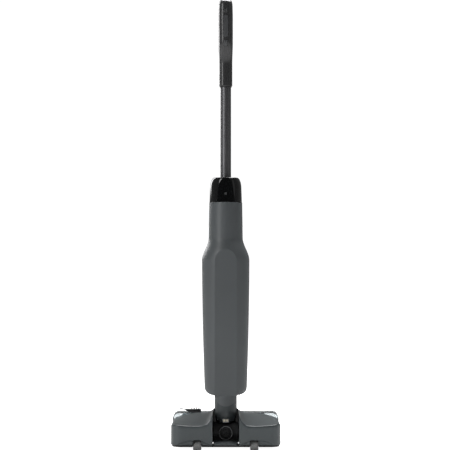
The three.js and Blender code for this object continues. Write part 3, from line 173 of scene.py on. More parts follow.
def moulded(name, colour, roughness, grain_mm=0.8, grain_depth=0.05, drift=0.10, **extra):
    material, tree, shader, place = new_material(name, Roughness=roughness, IOR=1.5, **extra)
    grain = add_node(tree, "ShaderNodeTexNoise", {"Scale": per_metre(grain_mm), "Detail": 2.0},
                     {"Vector": place})
    slow = add_node(tree, "ShaderNodeTexNoise", {"Scale": per_metre(DRIFT_MM), "Detail": 1.0},
                    {"Vector": place})
    dark = [c * (1 - drift) for c in linear(colour)[:3]] + [1.0]
    light = [min(c * (1 + drift), 1.0) for c in linear(colour)[:3]] + [1.0]
    tone = add_node(tree, "ShaderNodeMix", {"data_type": "RGBA"}, {"Factor": slow.outputs["Fac"]})
    tone.inputs[6].default_value = dark
    tone.inputs[7].default_value = light
    tree.links.new(tone.outputs[2], shader.inputs["Base Color"])
    rub = add_node(tree, "ShaderNodeMapRange",
                   {"To Min": roughness * 0.92, "To Max": roughness * 1.08},
                   {"Value": grain.outputs["Fac"]})
    tree.links.new(rub.outputs["Result"], shader.inputs["Roughness"])
    bump = add_node(tree, "ShaderNodeBump",
                    {"Strength": grain_depth * 2, "Distance": grain_depth * MM},
                    {"Height": grain.outputs["Fac"]})
    tree.links.new(bump.outputs["Normal"], shader.inputs["Normal"])
    return material


satin_abs_grey = moulded("satin_abs_grey", "#505456", 0.42)
satin_abs_head = moulded("satin_abs_head", "#454b4d", 0.30)
satin_abs_neck = moulded("satin_abs_neck", "#3b4042", 0.40)
matt_pp_black = moulded("matt_pp_black", "#17181a", 0.55, grain_mm=1.0)
piano_abs_black = moulded("piano_abs_black", "#08090a", 0.07, grain_mm=3.0, grain_depth=0.004,
                          drift=0.02)
soft_abs_grip = moulded("soft_abs_grip", "#343435", 0.26, grain_mm=0.9, grain_depth=0.02)
satin_abs_strip = moulded("satin_abs_strip", "#47484a", 0.38)
satin_abs_pale = moulded("satin_abs_pale", "#8d8f90", 0.42)
satin_abs_dim = moulded("satin_abs_dim", "#3c3d3e", 0.35)
enamelled_steel_case = moulded("enamelled_steel_case", "#7b8083", 0.35)
pvc_shrink_film = moulded("pvc_shrink_film", "#2d4767", 0.3, grain_mm=4.0)

# %% [markdown]
# ## Rubber, pile and tyre
#
# The wheels have a soft TPU tread that picks up pale dust, so it is speckled. Seals are EPDM,
# black and dry. The roller is microfibre pile: short loops that scatter light at grazing angles,
# which sheen gives.

# %% Rubber and textile
def speckled_tpu(name, colour, dust):
    material, tree, shader, place = new_material(name, Roughness=0.8, IOR=1.5)
    spots = add_node(tree, "ShaderNodeTexNoise",
                     {"Scale": per_metre(1.6), "Detail": 4.0, "Roughness": 0.7},
                     {"Vector": place})
    ramp = add_node(tree, "ShaderNodeValToRGB", links={"Fac": spots.outputs["Fac"]})
    set_stops(ramp, (0.38, linear(colour)), (0.68, linear(dust)))
    tree.links.new(ramp.outputs["Color"], shader.inputs["Base Color"])
    bump = add_node(tree, "ShaderNodeBump", {"Strength": 0.4, "Distance": 0.2 * MM},
                    {"Height": spots.outputs["Fac"]})
    tree.links.new(bump.outputs["Normal"], shader.inputs["Normal"])
    return material


def microfibre(name, colour, stripe, pitch_mm):
    material, tree, shader, place = new_material(name, Roughness=0.95, Sheen_Weight=0.6,
                                                 Sheen_Roughness=0.5)
    loops = add_node(tree, "ShaderNodeTexVoronoi", {"Scale": per_metre(1.4)}, {"Vector": place})
    bands = add_node(tree, "ShaderNodeTexWave",
                     {"Scale": per_metre(pitch_mm * 6.28), "Distortion": 1.5,
                     "Detail": 2.0, "bands_direction": "X"}, {"Vector": place})
    ramp = add_node(tree, "ShaderNodeValToRGB", links={"Fac": bands.outputs["Fac"]})
    set_stops(ramp, (0.55, linear(colour)), (0.75, linear(stripe)))
    tree.links.new(ramp.outputs["Color"], shader.inputs["Base Color"])
    bump = add_node(tree, "ShaderNodeBump", {"Strength": 0.9, "Distance": 0.8 * MM},
                    {"Height": loops.outputs["Distance"]})
    tree.links.new(bump.outputs["Normal"], shader.inputs["Normal"])
    return material


dusty_tpu_tread = speckled_tpu("dusty_tpu_tread", "#6c6d6d", "#a0a09f")
epdm_black = speckled_tpu("epdm_black", "#1d1e1f", "#2c2d2e")
microfibre_pile = microfibre("microfibre_pile", "#8b979c", "#5f7681", 16)
pleated_filter_felt = microfibre("pleated_filter_felt", "#d5d6d2", "#bfc0bb", 4)

# %% [markdown]
# ## Metals
#
# The handle tube is drawn aluminium, dyed dark and anodised. Drawing leaves fine lines along its
# length, which stretch highlights sideways. Axles and pins are turned steel, whose lines run
# round them, and the charging pads are gold-plated brass. Metals keep the default IOR and take
# their colour from the base.

# %% Metals
def drawn_metal(name, colour, roughness, stretch, metallic=1.0):
    material, tree, shader, place = new_material(name, Metallic=metallic, Roughness=roughness)
    squeezed = add_node(tree, "ShaderNodeMapping", {"Scale": stretch}, {"Vector": place})
    lines = add_node(tree, "ShaderNodeTexNoise", {"Scale": per_metre(0.9), "Detail": 3.0},
                     {"Vector": squeezed.outputs["Vector"]})
    rub = add_node(tree, "ShaderNodeMapRange",
                   {"To Min": roughness * 0.8, "To Max": roughness * 1.25},
                   {"Value": lines.outputs["Fac"]})
    tree.links.new(rub.outputs["Result"], shader.inputs["Roughness"])
    ramp = add_node(tree, "ShaderNodeValToRGB", links={"Fac": lines.outputs["Fac"]})
    set_stops(ramp, (0.0, [c * 0.85 for c in linear(colour)[:3]] + [1.0]), (1.0, linear(colour)))
    tree.links.new(ramp.outputs["Color"], shader.inputs["Base Color"])
    bump = add_node(tree, "ShaderNodeBump", {"Strength": 0.15, "Distance": 0.03 * MM},
                    {"Height": lines.outputs["Fac"]})
    tree.links.new(bump.outputs["Normal"], shader.inputs["Normal"])
    return material


anodised_tube = drawn_metal("anodised_tube", "#656567", 0.40, (1, 1, 0.02), metallic=0.8)
turned_steel = drawn_metal("turned_steel", "#b9bbbd", 0.28, (1, 0.05, 0.05))
gold_plated_brass = drawn_metal("gold_plated_brass", "#b9b3a0", 0.3, (1, 1, 1))

# %% [markdown]
# ## Clear plastics
#
# The brush cover is clear polycarbonate and the dirty water tank is smoked. Both are thin walls
# with a polished face. Transmission lets light through, and a little surface noise gives the
# faint waviness that every clear moulding has.

# %% Clear plastics
def clear_moulding(name, colour, roughness, transmission):
    material, tree, shader, place = new_material(
        name, Base_Color=linear(colour), Roughness=roughness, IOR=1.49,
        Transmission_Weight=transmission)
    wave = add_node(tree, "ShaderNodeTexNoise", {"Scale": per_metre(30), "Detail": 1.0},
                    {"Vector": place})
    bump = add_node(tree, "ShaderNodeBump", {"Strength": 0.08, "Distance": 0.1 * MM},
                    {"Height": wave.outputs["Fac"]})
    tree.links.new(bump.outputs["Normal"], shader.inputs["Normal"])
    return material


clear_polycarbonate = clear_moulding("clear_polycarbonate", "#eef2f3", 0.04, 0.95)
smoked_tank_plastic = clear_moulding("smoked_tank_plastic", "#8f989c", 0.05, 0.85)
tinted_tank_plastic = clear_moulding("tinted_tank_plastic", "#b9c3c8", 0.06, 0.85)

# %% [markdown]
# ## Circuit board
#
# A board is glass laminate under green solder mask. Copper tracks show through as a slightly
# paler grid of lines about 2 mm apart.

# %% Circuit board
solder_mask, mask_tree, mask_shader, mask_place = new_material("solder_mask", Roughness=0.35,
                                                               IOR=1.5)
tracks = add_node(mask_tree, "ShaderNodeTexBrick", {"Scale": per_metre(12), "Mortar Size": 0.03,
                  "Color1": linear("#174a30"), "Color2": linear("#1b5436"),
                  "Mortar": linear("#3b7a52")},
                  {"Vector": mask_place})
mask_tree.links.new(tracks.outputs["Color"], mask_shader.inputs["Base Color"])

# %% [markdown]
# ## Mesh helpers
#
# Every shell here is a stack of rings: outlines of the same number of points, one above another,
# joined by four-sided faces. Quads in even rows shade smoothly. `skin` builds such a stack, and
# `make` turns it into a piece: it thickens an open skin to a real wall, rounds the edges that are
# sharper than a given angle, and lets the piece ride on its body.

# %% Mesh helpers
PIECES = []


def sind(degrees):
    return math.sin(math.radians(degrees))


def cosd(degrees):
    return math.cos(math.radians(degrees))


def skin(rings, closed=True, ends=False):
    bm = bmesh.new()
    rows = [[bm.verts.new(point) for point in ring] for ring in rings]
    count = len(rings[0])
    for low, high in zip(rows, rows[1:]):
        for i in range(count if closed else count - 1):
            j = (i + 1) % count
            bm.faces.new((low[i], low[j], high[j], high[i]))
    if ends:
        bm.faces.new(list(reversed(rows[0])))
        bm.faces.new(rows[-1])
    bmesh.ops.remove_doubles(bm, verts=bm.verts, dist=1e-6)
    return bm


def capped(rings):
    """A skin with a face over its first and its last ring."""
    return skin(rings, ends=True)


def to_mesh(bm, name):
    mesh = bpy.data.meshes.new(name)
    bm.to_mesh(mesh)
    bm.free()
    return mesh


def round_edges(obj, width, angle, segments):
    bevel = obj.modifiers.new("edge", "BEVEL")
    bevel.width = width
    bevel.segments = segments
    bevel.limit_method = "ANGLE"
    bevel.angle_limit = math.radians(angle)
    bevel.harden_normals = True


def facing_out(bm, inside):
    """Turns all faces so that they look away from a point or a line of points inside."""
    bmesh.ops.recalc_face_normals(bm, faces=bm.faces)
    away = 0.0
    for face in bm.faces:
        middle = face.calc_center_median()
        away += face.normal.dot(middle - inside(middle)) * face.calc_area()
    if away < 0:
        bmesh.ops.reverse_faces(bm, faces=bm.faces)


def make(name, bm, body, material, stands_for=(), wall=0.0, edge=0.0, angle=28, segments=3,
         inside=None):
    if inside is not None:
        facing_out(bm, inside)
    else:
        bmesh.ops.recalc_face_normals(bm, faces=bm.faces)
    for face in bm.faces:
        face.smooth = True
    for e in bm.edges:
        e.smooth = len(e.link_faces) < 2 or e.calc_face_angle(0) < math.radians(angle)
    obj = new_object(name, to_mesh(bm, name))
    obj.data.materials.append(material)
    if wall:
        thicken = obj.modifiers.new("wall", "SOLIDIFY")
        thicken.thickness = wall
        thicken.offset = -1
    if edge:
        round_edges(obj, edge, angle, segments)
    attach(obj, body)
    if stands_for:
        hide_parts(*stands_for)
    PIECES.append(obj)
    print(f"{name}: {len(obj.data.vertices)} points")
    return obj


def lathe(profile, axis, centre, sides=64):
    """Rings of a turned piece. A profile point is (radius, place along the axis), and centre gives
    the axis's place in the other two directions."""
    rings = []
    for radius, along in profile:
        ring = []
        for i in range(sides):
            turn = 2 * math.pi * i / sides
            a = centre[0] + radius * math.cos(turn)
            b = centre[1] + radius * math.sin(turn)
            ring.append({"x": (along, a, b), "y": (a, along, b), "z": (a, b, along)}[axis])
        rings.append(ring)
    return rings


def turned(profile, axis, centre, sides=64):
    return skin(lathe(profile, axis, centre, sides))


def turned_hoop(profile, axis, centre, sides=64):
    """A turned piece with a hole: its profile closes on itself."""
    return turned(profile + profile[:1], axis, centre, sides)


def rounded_box(low, high, radius, steps=5):
    """A block whose upright corners are round, as two rings."""
    ring = []
    x0, y0 = low[0] + radius, low[1] + radius
    x1, y1 = high[0] - radius, high[1] - radius
    for cx, cy, start in ((x1, y0, -90), (x1, y1, 0), (x0, y1, 90), (x0, y0, 180)):
        for i in range(steps + 1):
            turn = math.radians(start + 90 * i / steps)
            ring.append((cx + radius * math.cos(turn), cy + radius * math.sin(turn)))
    return [[(x, y, z) for x, y in ring] for z in (low[2], high[2])]


def carve(obj, cutter, operation="DIFFERENCE"):
    """Cuts one piece by another and throws the cutter away. It comes before the edge rounding."""
    cut = obj.modifiers.new("cut", "BOOLEAN")
    cut.operation = operation
    cut.solver = "EXACT"
    cut.object = cutter
    while obj.modifiers[0] != cut:
        index = list(obj.modifiers).index(cut)
        if obj.modifiers[index - 1].type == "SOLIDIFY":
            break
        obj.modifiers.move(index, index - 1)
    bpy.context.view_layer.objects.active = obj
    bpy.context.view_layer.update()
    for modifier in [m for m in obj.modifiers if m.type in ("SOLIDIFY", "BOOLEAN")]:
        with bpy.context.temp_override(object=obj, active_object=obj, selected_objects=[obj]):
            bpy.ops.object.modifier_apply(modifier=modifier.name)
    bpy.data.objects.remove(cutter)
    for polygon in obj.data.polygons:
        polygon.use_smooth = True


def merge(first, *others):
    """Puts several meshes into one, as islands of the same piece."""
    for other in others:
        mesh = to_mesh(other, "part")
        first.from_mesh(mesh)
        bpy.data.meshes.remove(mesh)
    return first


def cutter_from(bm):
    bmesh.ops.recalc_face_normals(bm, faces=bm.faces)
    return new_object("cutter", to_mesh(bm, "cutter"))


def cut_out(obj, rings):
    """Cuts a closed stack of rings out of a piece."""
    carve(obj, cutter_from(capped(rings)))


def between(a, b, t):
    return a + (b - a) * t


def evenly(a, b, count):
    return [between(a, b, i / count) for i in range(count + 1)]


def clamp(t):
    return min(max(t, 0.0), 1.0)


def ease(t):
    """Runs from 0 to 1 with a soft start and a soft end."""
    t = clamp(t)
    return t * t * (3 - 2 * t)


def corner_inset(distance, radius):
    """How far a rounded corner stands in, at a distance from its end."""
    if distance >= radius:
        return 0.0
    rest = radius - max(distance, 0.0)
    return radius - math.sqrt(max(radius * radius - rest * rest, 0.0))


# %% [markdown]
# ## Sizes of the body, read from the frame
#
# The body narrows towards its foot, swells to a shoulder and slims into a column. Its back is
# round with one flat, sloping band cut across it. Where the round back falls below that plane the
# band ends by itself in an arch, as it does on the real moulding.

# %% Body sizes
tube_low, tube_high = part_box("handle_tube")
AXIS_Y = (tube_low.y + tube_high.y) / 2
TUBE_RADIUS = (tube_high.x - tube_low.x) / 2
housing_low, housing_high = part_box("rear_housing")
frame_low, frame_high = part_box("front_frame")
BODY_BOTTOM, BODY_TOP = frame_low.z, frame_high.z
WIDE_HALF = housing_high.x
SEAM_Y = frame_low.y
WALL = 2.6 * MM
GAP = 0.4 * MM
FOOT_HALF = 52.15 * MM
COLUMN_HALF = 42.2 * MM
COLUMN_TOP_HALF = 40.8 * MM
SHOULDER_START = BODY_TOP - 144 * MM
SHOULDER_HEIGHT = 56 * MM
FLAT_LOW, FLAT_HIGH = 31 * MM, 50 * MM
COLUMN_BACK = 43 * MM
FRONT_LOW, FRONT_HIGH, FRONT_COLUMN = 88 * MM, 95 * MM, 74 * MM
BAND_HALF = 27 * MM
BOTTOM_ROUND = 18 * MM
COLUMN_TAPER = 88 * MM  # height over which the column still slims
FOOT_CURVE = 1.6  # a power over one keeps the sides full before they draw in to the foot
CORNER_SHARE = 0.55  # the front corner's width, as a share of the half width
CORNER_DEPTH = 0.8  # that corner's depth, as a share of its width
print(f"body from {BODY_BOTTOM / MM:.1f} to {BODY_TOP / MM:.1f} mm")


def body_sizes(z):
    below = min(max((SHOULDER_START - z) / (SHOULDER_START - BODY_BOTTOM), 0.0), 1.05)
    flare = ease((z - SHOULDER_START) / SHOULDER_HEIGHT)
    column = clamp((z - SHOULDER_START - SHOULDER_HEIGHT) / COLUMN_TAPER)
    low_half = WIDE_HALF - (WIDE_HALF - FOOT_HALF) * below ** FOOT_CURVE
    half = between(low_half, between(COLUMN_HALF, COLUMN_TOP_HALF, column), flare)
    flat = between(FLAT_HIGH, FLAT_LOW, (SHOULDER_START - z) / (SHOULDER_START - BODY_BOTTOM))
    front = between(between(FRONT_HIGH, FRONT_LOW, below ** 2), FRONT_COLUMN, flare)
    low_crest = flat / math.sqrt(1 - (BAND_HALF / half) ** 2)
    return half, flat, between(low_crest, COLUMN_BACK, flare), front


def back_outline(half, flat, crest, steps=16, across=8):
    """Half outline of the back from the middle of the flat to the widest point, as (x, y)."""
    start = math.acos(min(flat / crest, 0.9995))
    points = [(half * math.sin(start) * i / across, -min(flat, crest)) for i in range(across)]
    for turn in evenly(start, math.pi / 2, steps):
        points.append((half * math.sin(turn), -min(crest * math.cos(turn), flat)))
    return [(x, AXIS_Y + y) for x, y in points]


def mirrored_row(points, z):
    """A left-to-right row from the right half of an outline that starts in the middle."""
    row = [(x, y, z) for x, y in points]
    return row[:0:-1] + [(-x, y, z) for x, y in points]


# %% [markdown]
# ## Rear housing
#
# The big shell that the person behind the machine looks at. It is one open skin, thickened
# inwards to a 2.6 mm wall. The flat band runs on below the body as a tongue with a round end that
# covers the back of the neck. The rim under the glossy cap bows up by 1.5 mm in the middle.

# %% Rear housing
RIM_BOW = 1.5 * MM


def rim_height(x, half):
    return BODY_TOP - RIM_BOW * (x / half) ** 2


def build_rear_housing():
    rows = []
    levels = [BODY_BOTTOM + BOTTOM_ROUND * (1 - cosd(a)) for a in (0, 15, 30, 45, 60, 75, 90)]
    levels += evenly(BODY_BOTTOM + BOTTOM_ROUND, SHOULDER_START, 26)[1:]
    levels += evenly(SHOULDER_START, SHOULDER_START + SHOULDER_HEIGHT, 22)[1:]
    levels += evenly(SHOULDER_START + SHOULDER_HEIGHT, BODY_TOP, 10)[1:]
    for z in levels:
        half, flat, crest, _ = body_sizes(z)
        tuck = corner_inset(z - BODY_BOTTOM, BOTTOM_ROUND)
        if tuck:
            half -= tuck
            band = min(BAND_HALF, half * 0.92)
            crest = flat / math.sqrt(1 - (band / half) ** 2)
        side = back_outline(half, flat, crest)
        side.append((half, between(AXIS_Y, SEAM_Y, 0.5)))
        side.append((half, SEAM_Y - GAP))
        row = mirrored_row(side, z)
        if z == BODY_TOP:
            row = [(x, y, rim_height(x, half)) for x, y, _ in row]
        rows.append(row)
    bm = skin(rows, closed=False)
    # Foot of the shell, a flat plate inside the lowest row.
    bm.faces.new([bm.verts.new(point) for point in rows[0]])
    # Tongue below the flat band, curved about the neck. Its upper edge hides inside the shell.
    tongue = []
    round_end = [housing_low.z + BAND_HALF * (1 - cosd(a)) for a in range(3, 91, 6)]
    for z in round_end + [BODY_BOTTOM + 2 * MM]:
        reach = math.sqrt(max(BAND_HALF ** 2 - max(BODY_BOTTOM - z, 0.0) ** 2, 0.0))
        tongue.append([(x, AXIS_Y - math.sqrt(FLAT_LOW ** 2 - x * x), z)
                       for x in evenly(-reach, reach, 24)])
    return merge(bm, skin(tongue, closed=False))


make("rear_shell", build_rear_housing(), "main_body", satin_abs_grey,
     ["rear_housing"], wall=WALL, edge=0.9 * MM, angle=14,
     inside=lambda p: Vector((0, AXIS_Y + 0.02, max(p.z, BODY_BOTTOM + 0.02))))

# %% [markdown]
# ## Front frame
#
# Behind and around the tanks stands a frame: a back plate with three shelves. From the side only
# its edge shows, flush with the rear housing. Each shelf is a short stack of front outlines.

# %% Front frame
plate_front = SEAM_Y + 5 * MM
SHELF_ROOM = 0.8 * MM  # air between a tank and the shelf above or below it
SHELF_THICK = 6 * MM
dirty_low, dirty_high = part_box("dirty_tank")
lid_low, lid_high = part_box("dirty_tank_lid")
clean_low, clean_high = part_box("clean_tank")


def front_corner(half, front):
    """The body's round front corner at one height, from the side to the front, as (x, y)."""
    corner = half * CORNER_SHARE
    depth = corner * CORNER_DEPTH
    return [(half - corner + corner * cosd(a), AXIS_Y + front - depth + depth * sind(a))
            for a in evenly(0, 90, 10)]


def front_outline(z, back_y, inset=0.0):
    """Closed outline of everything ahead of back_y at one height."""
    half, _, _, front = body_sizes(z)
    tuck = corner_inset(z - BODY_BOTTOM, BOTTOM_ROUND)
    half -= inset + tuck
    front -= inset + tuck * 0.6
    right = [(half, back_y)] + front_corner(half, front)
    inner = half * (1 - CORNER_SHARE)
    right += [(inner * (1 - t), AXIS_Y + front + MM * t * (2 - t)) for t in (0.33, 0.66)]
    middle = [(0.0, AXIS_Y + front + MM)]
    return [(x, y, z) for x, y in right + middle + [(-x, y) for x, y in reversed(right)]]


def front_block(low, high, back_y, levels):
    return capped([front_outline(z, back_y) for z in evenly(low, high, levels)])


def build_front_frame():
    plate_rows = []
    levels = [BODY_BOTTOM + BOTTOM_ROUND * t for t in (0, 0.1, 0.3, 0.6, 1)]
    for z in levels + evenly(BODY_BOTTOM + BOTTOM_ROUND, BODY_TOP, 44)[1:]:
        half = body_sizes(z)[0] - corner_inset(z - BODY_BOTTOM, BOTTOM_ROUND)
        plate_rows.append([(half, SEAM_Y, z), (half, plate_front, z), (-half, plate_front, z),
                           (-half, SEAM_Y, z)])
    plate = capped(plate_rows)
    shelf_join = plate_front - 0.5 * MM
    foot_levels = [BODY_BOTTOM + BOTTOM_ROUND * t for t in (0, 0.06, 0.2, 0.4, 0.7, 1)]
    foot_levels.append(dirty_low.z - SHELF_ROOM)
    foot = capped([front_outline(z, shelf_join) for z in foot_levels])
    shelf = front_block(clean_low.z - SHELF_ROOM - SHELF_THICK, clean_low.z - SHELF_ROOM,
                        shelf_join, levels=2)
    top = front_block(clean_high.z + SHELF_ROOM, BODY_TOP, shelf_join, levels=4)
    return merge(plate, foot, shelf, top)


front_frame = make("tank_frame", build_front_frame(), "main_body", satin_abs_grey,
                   ["front_frame"], edge=0.7 * MM, angle=32)
FINGER_HALF = 16 * MM  # room for a finger on the latch
finger_low = (-FINGER_HALF, plate_front + 6 * MM, clean_low.z - 9 * MM)
finger_high = (FINGER_HALF, 80 * MM, clean_low.z - 0.2 * MM)
cut_out(front_frame, rounded_box(finger_low, finger_high, 5 * MM))

# %% [markdown]
# ## Water tanks
#
# The dirty water tank is smoked so that the owner sees when it is full, and the clean water tank
# above it is lightly tinted. Each is a closed skin with a real inner wall, so light bends twice
# in it as in the real one. A raised line marks the highest level.

# %% Dirty water tank
def hollow(bm_outer, bm_inner):
    for face in bm_inner.faces:
        face.normal_flip()
    return merge(bm_outer, bm_inner)


TANK_WALL = 2.4 * MM
LEVEL_DROP = 46 * MM  # the level line below the tank's rim
FILL_SHARE = 0.85  # how much of its box a rounded tank holds
LITRES = 1000  # in a cubic metre
tank_back = dirty_low.y


def open_bucket(low, high, back_y):
    rows = [front_outline(low, back_y, 1.2 * MM)]
    rows += [front_outline(z, back_y) for z in evenly(low + 1.2 * MM, high, 24)]
    rows += [front_outline(z, back_y + TANK_WALL, TANK_WALL)
             for z in evenly(high, low + TANK_WALL, 24)]
    return capped(rows)


make("dirty_tank_shell", open_bucket(dirty_low.z, dirty_high.z, tank_back), "dirty_tank",
     smoked_tank_plastic, ["dirty_tank"], edge=0.5 * MM, angle=35, segments=2)


def level_mark(z, thick, proud):
    outer = [front_outline(h, tank_back + 4 * MM, -proud) for h in (z, z + thick)]
    return capped(outer)


make("dirty_tank_level_line", level_mark(dirty_high.z - LEVEL_DROP, 0.9 * MM, 0.35 * MM),
     "dirty_tank", satin_abs_pale, edge=0.2 * MM, angle=35, segments=2)

lid_rows = [front_outline(z, tank_back, inset) for z, inset in (
    (lid_low.z, 0.0), (lid_low.z + 3 * MM, 0.0), (lid_low.z + 3.4 * MM, 0.7 * MM),
    (lid_low.z + 4.2 * MM, 0.7 * MM),
    (lid_low.z + 4.6 * MM, 0.0), (lid_high.z - 2 * MM, 0.0), (lid_high.z - 0.6 * MM, 0.6 * MM),
    (lid_high.z, 2 * MM))]
tank_lid = make("dirty_tank_lid_shell", capped(lid_rows), "dirty_tank",
                matt_pp_black, ["dirty_tank_lid"], edge=0.4 * MM, angle=35, segments=2)
latch_low, latch_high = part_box("tank_latch")
seat = rounded_box(latch_low - Vector((GAP, GAP, 0.004)), latch_high + Vector((GAP, GAP, 0.01)),
                   4 * MM)
cut_out(tank_lid, seat)
filter_low, filter_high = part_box("tank_filter")
seat = rounded_box(filter_low - Vector((GAP, GAP, 0.02)), filter_high + Vector((GAP, GAP, GAP)),
                   6 * MM)
cut_out(tank_lid, seat)
tank_box = dirty_high - dirty_low
print(f"dirty tank holds about {tank_box.x * tank_box.y * tank_box.z * FILL_SHARE * LITRES:.2f} l")

# %% [markdown]
# ## Tank latch
#
# A press pad of pale ABS in the lid, which lets the tank go. A bevelled box would do, but its top
# would look flat, so the pad is a stack of outlines that draw in towards a crown, with ribs
# across it for the finger.

# %% Tank latch
def ribbed_pad(low, high, ribs):
    """A press pad with a crowned top and grip ribs across it."""
    radius = min(high.x - low.x, high.y - low.y) * 0.24
    outline = rounded_box(low, high, radius, 6)[0]
    rows = []
    height = high.z - low.z
    for t, inset in ((0, 0), (0.75, 0), (0.9, 0.03), (0.97, 0.09), (1.0, 0.2)):
        cx, cy = (low.x + high.x) / 2, (low.y + high.y) / 2
        rows.append([(cx + (x - cx) * (1 - inset), cy + (y - cy) * (1 - inset), low.z + height * t)
                     for x, y, _ in outline])
    pad = capped(rows)
    for i in range(ribs):
        t = (i + 1) / (ribs + 1)
        y = between(low.y, high.y, t)
        a = (low.x + 4 * MM, y - 0.5 * MM, high.z - MM)
        b = (high.x - 4 * MM, y + 0.5 * MM, high.z + 0.4 * MM)
        pad = merge(pad, capped(rounded_box(a, b, 0.45 * MM, 3)))
    return pad


make("tank_latch_pad", ribbed_pad(latch_low, latch_high, 4), "tank_latch",
     satin_abs_pale, ["tank_latch"], edge=0.3 * MM, angle=35, segments=2)

# %% [markdown]
# ## Clean water tank
#
# A box of lightly tinted plastic with a black rubber plug in its front. A modifier could thicken
# one skin, but a smaller skin set inside the larger one keeps the inner face as smooth as the
# outer one.

# %% Clean water tank
clean_rows = [front_outline(clean_low.z, tank_back, 1.5 * MM)]
clean_rows += [front_outline(z, tank_back)
               for z in evenly(clean_low.z + 1.5 * MM, clean_high.z - 1.5 * MM, 34)]
clean_rows += [front_outline(clean_high.z, tank_back, 1.5 * MM)]
clean_inner = [front_outline(z, tank_back + TANK_WALL, TANK_WALL)
               for z in evenly(clean_low.z + TANK_WALL, clean_high.z - TANK_WALL, 30)]
clean_bm = hollow(capped(clean_rows), capped(clean_inner))
make("clean_tank_shell", clean_bm, "clean_tank", tinted_tank_plastic,
     ["clean_tank", "clean_tank_plate"], edge=0.5 * MM, angle=35, segments=2)

fill_low, fill_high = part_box("fill_cap")
fill_z = (fill_low.z + fill_high.z) / 2
fill_r = (fill_high.x - fill_low.x) / 2
fill_profile = [(0.0, fill_low.y), (fill_r - 4.5 * MM, fill_low.y),
                (fill_r - 4.5 * MM, fill_high.y - 2 * MM),
                (fill_r, fill_high.y - 2 * MM), (fill_r, fill_high.y - 0.7 * MM),
                (fill_r - MM, fill_high.y),
                (fill_r - 5 * MM, fill_high.y - 0.4 * MM), (0.0, fill_high.y - 0.4 * MM)]
make("fill_plug", turned(fill_profile, "y", (0, fill_z), 48), "fill_cap",
     epdm_black, ["fill_cap"], edge=0.3 * MM, angle=40, segments=2)

# %% [markdown]
# ## Glossy cap
#
# The black top is polished ABS, which is a mirror with a dark body. Its shape does the work: the
# round sides catch the soft lights and the flat panel at the back mirrors the dark room. The
# front is cut by a sloping plane that carries the display.

# %% Glossy cap
cap_low, cap_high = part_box("top_cap")
CAP_BOTTOM, CAP_TOP = cap_low.z, cap_high.z
CAP_SHOULDER = 24 * MM
CAP_TOP_HALF = 28.5 * MM
CAP_FLAT = 35 * MM
SLOPE_LEAN = 0.62
SLOPE_START = AXIS_Y + TUBE_RADIUS + 8 * MM


def slope_y(z):
    return SLOPE_START + (CAP_TOP - MM - z) / math.tan(SLOPE_LEAN)


def cap_sizes(z):
    half, _, _, front = body_sizes(BODY_TOP)
    rise = clamp((z - (CAP_TOP - CAP_SHOULDER)) / CAP_SHOULDER)
    shoulder = 1 - math.sqrt(1 - rise * rise)
    taper = (z - CAP_BOTTOM) / (CAP_TOP - CAP_BOTTOM) * 4 * MM
    half_here = between(half - 0.8 * MM - taper / 2, CAP_TOP_HALF, shoulder)
    crest = between(COLUMN_BACK - MM - taper, COLUMN_BACK - 9 * MM, shoulder)
    return half_here, crest, between(front - MM, front - 16 * MM, shoulder)


def cap_ring(z):
    half, crest, front = cap_sizes(z)
    flat = min(CAP_FLAT, crest)
    side = back_outline(half, flat, crest, 18, 8)
    side += [(x, min(y, slope_y(z))) for x, y in front_corner(half, front)]
    inner = half * (1 - CORNER_SHARE)
    side += [(inner * (1 - t), min(AXIS_Y + front, slope_y(z))) for t in (0.5, 1.0)]
    right = [(x, y, z) for x, y in side]
    return right[:0:-1] + [(-x, y, zz) for x, y, zz in right][:-1]


cap_levels = evenly(CAP_BOTTOM, CAP_TOP - CAP_SHOULDER, 12)
cap_levels += [CAP_TOP - CAP_SHOULDER + CAP_SHOULDER * sind(a) for a in range(6, 91, 6)]
cap_rings = [cap_ring(z) for z in cap_levels]
half_rim = cap_sizes(CAP_BOTTOM)[0]
cap_rings[0] = [(x, y, z - RIM_BOW * (x / half_rim) ** 2 if y < SEAM_Y else z) for x, y,
                z in cap_rings[0]]
make("cap_shell", capped(cap_rings), "main_body", piano_abs_black,
     ["top_cap", "cap_back_panel"], edge=0.8 * MM, angle=24)

collar_profile = [(TUBE_RADIUS + 0.3 * MM, CAP_TOP - MM), (TUBE_RADIUS + 3.2 * MM, CAP_TOP - MM),
                  (TUBE_RADIUS + 2.6 * MM, CAP_TOP - 0.1 * MM),
                  (TUBE_RADIUS + 0.3 * MM, CAP_TOP - 0.1 * MM)]
make("tube_seal", turned_hoop(collar_profile, "z", (0, AXIS_Y)), "main_body",
     epdm_black)

# %% [markdown]
# ## Display
#
# A flat window of the same gloss black as the cap, with a pale ring printed on it. Both are built
# lying flat, where their sizes are easy to read, and one matrix then leans them onto the sloping
# face.

# %% Display
SLOPE_TURN = (Matrix.Translation((0, SLOPE_START, CAP_TOP - MM))
              @ Matrix.Rotation(-SLOPE_LEAN, 4, "X"))


def on_slope(bm):
    bmesh.ops.transform(bm, matrix=SLOPE_TURN, verts=bm.verts)
    return bm


lens_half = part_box("display_lens")[1].x
lens_rings = rounded_box((-lens_half, 5.4 * MM, -1.0 * MM), (lens_half, 44.6 * MM, 0.25 * MM),
                         11 * MM, 8)
make("display_window", on_slope(capped(lens_rings)), "main_body", piano_abs_black,
     ["display_lens"], edge=0.3 * MM, angle=35)
dial = [(13.0 * MM, 0.2 * MM), (14.4 * MM, 0.2 * MM), (14.4 * MM, 0.34 * MM),
        (13.0 * MM, 0.34 * MM)]
make("display_ring", on_slope(turned_hoop(dial, "z", (0, 25 * MM), 64)), "main_body",
     satin_abs_pale)

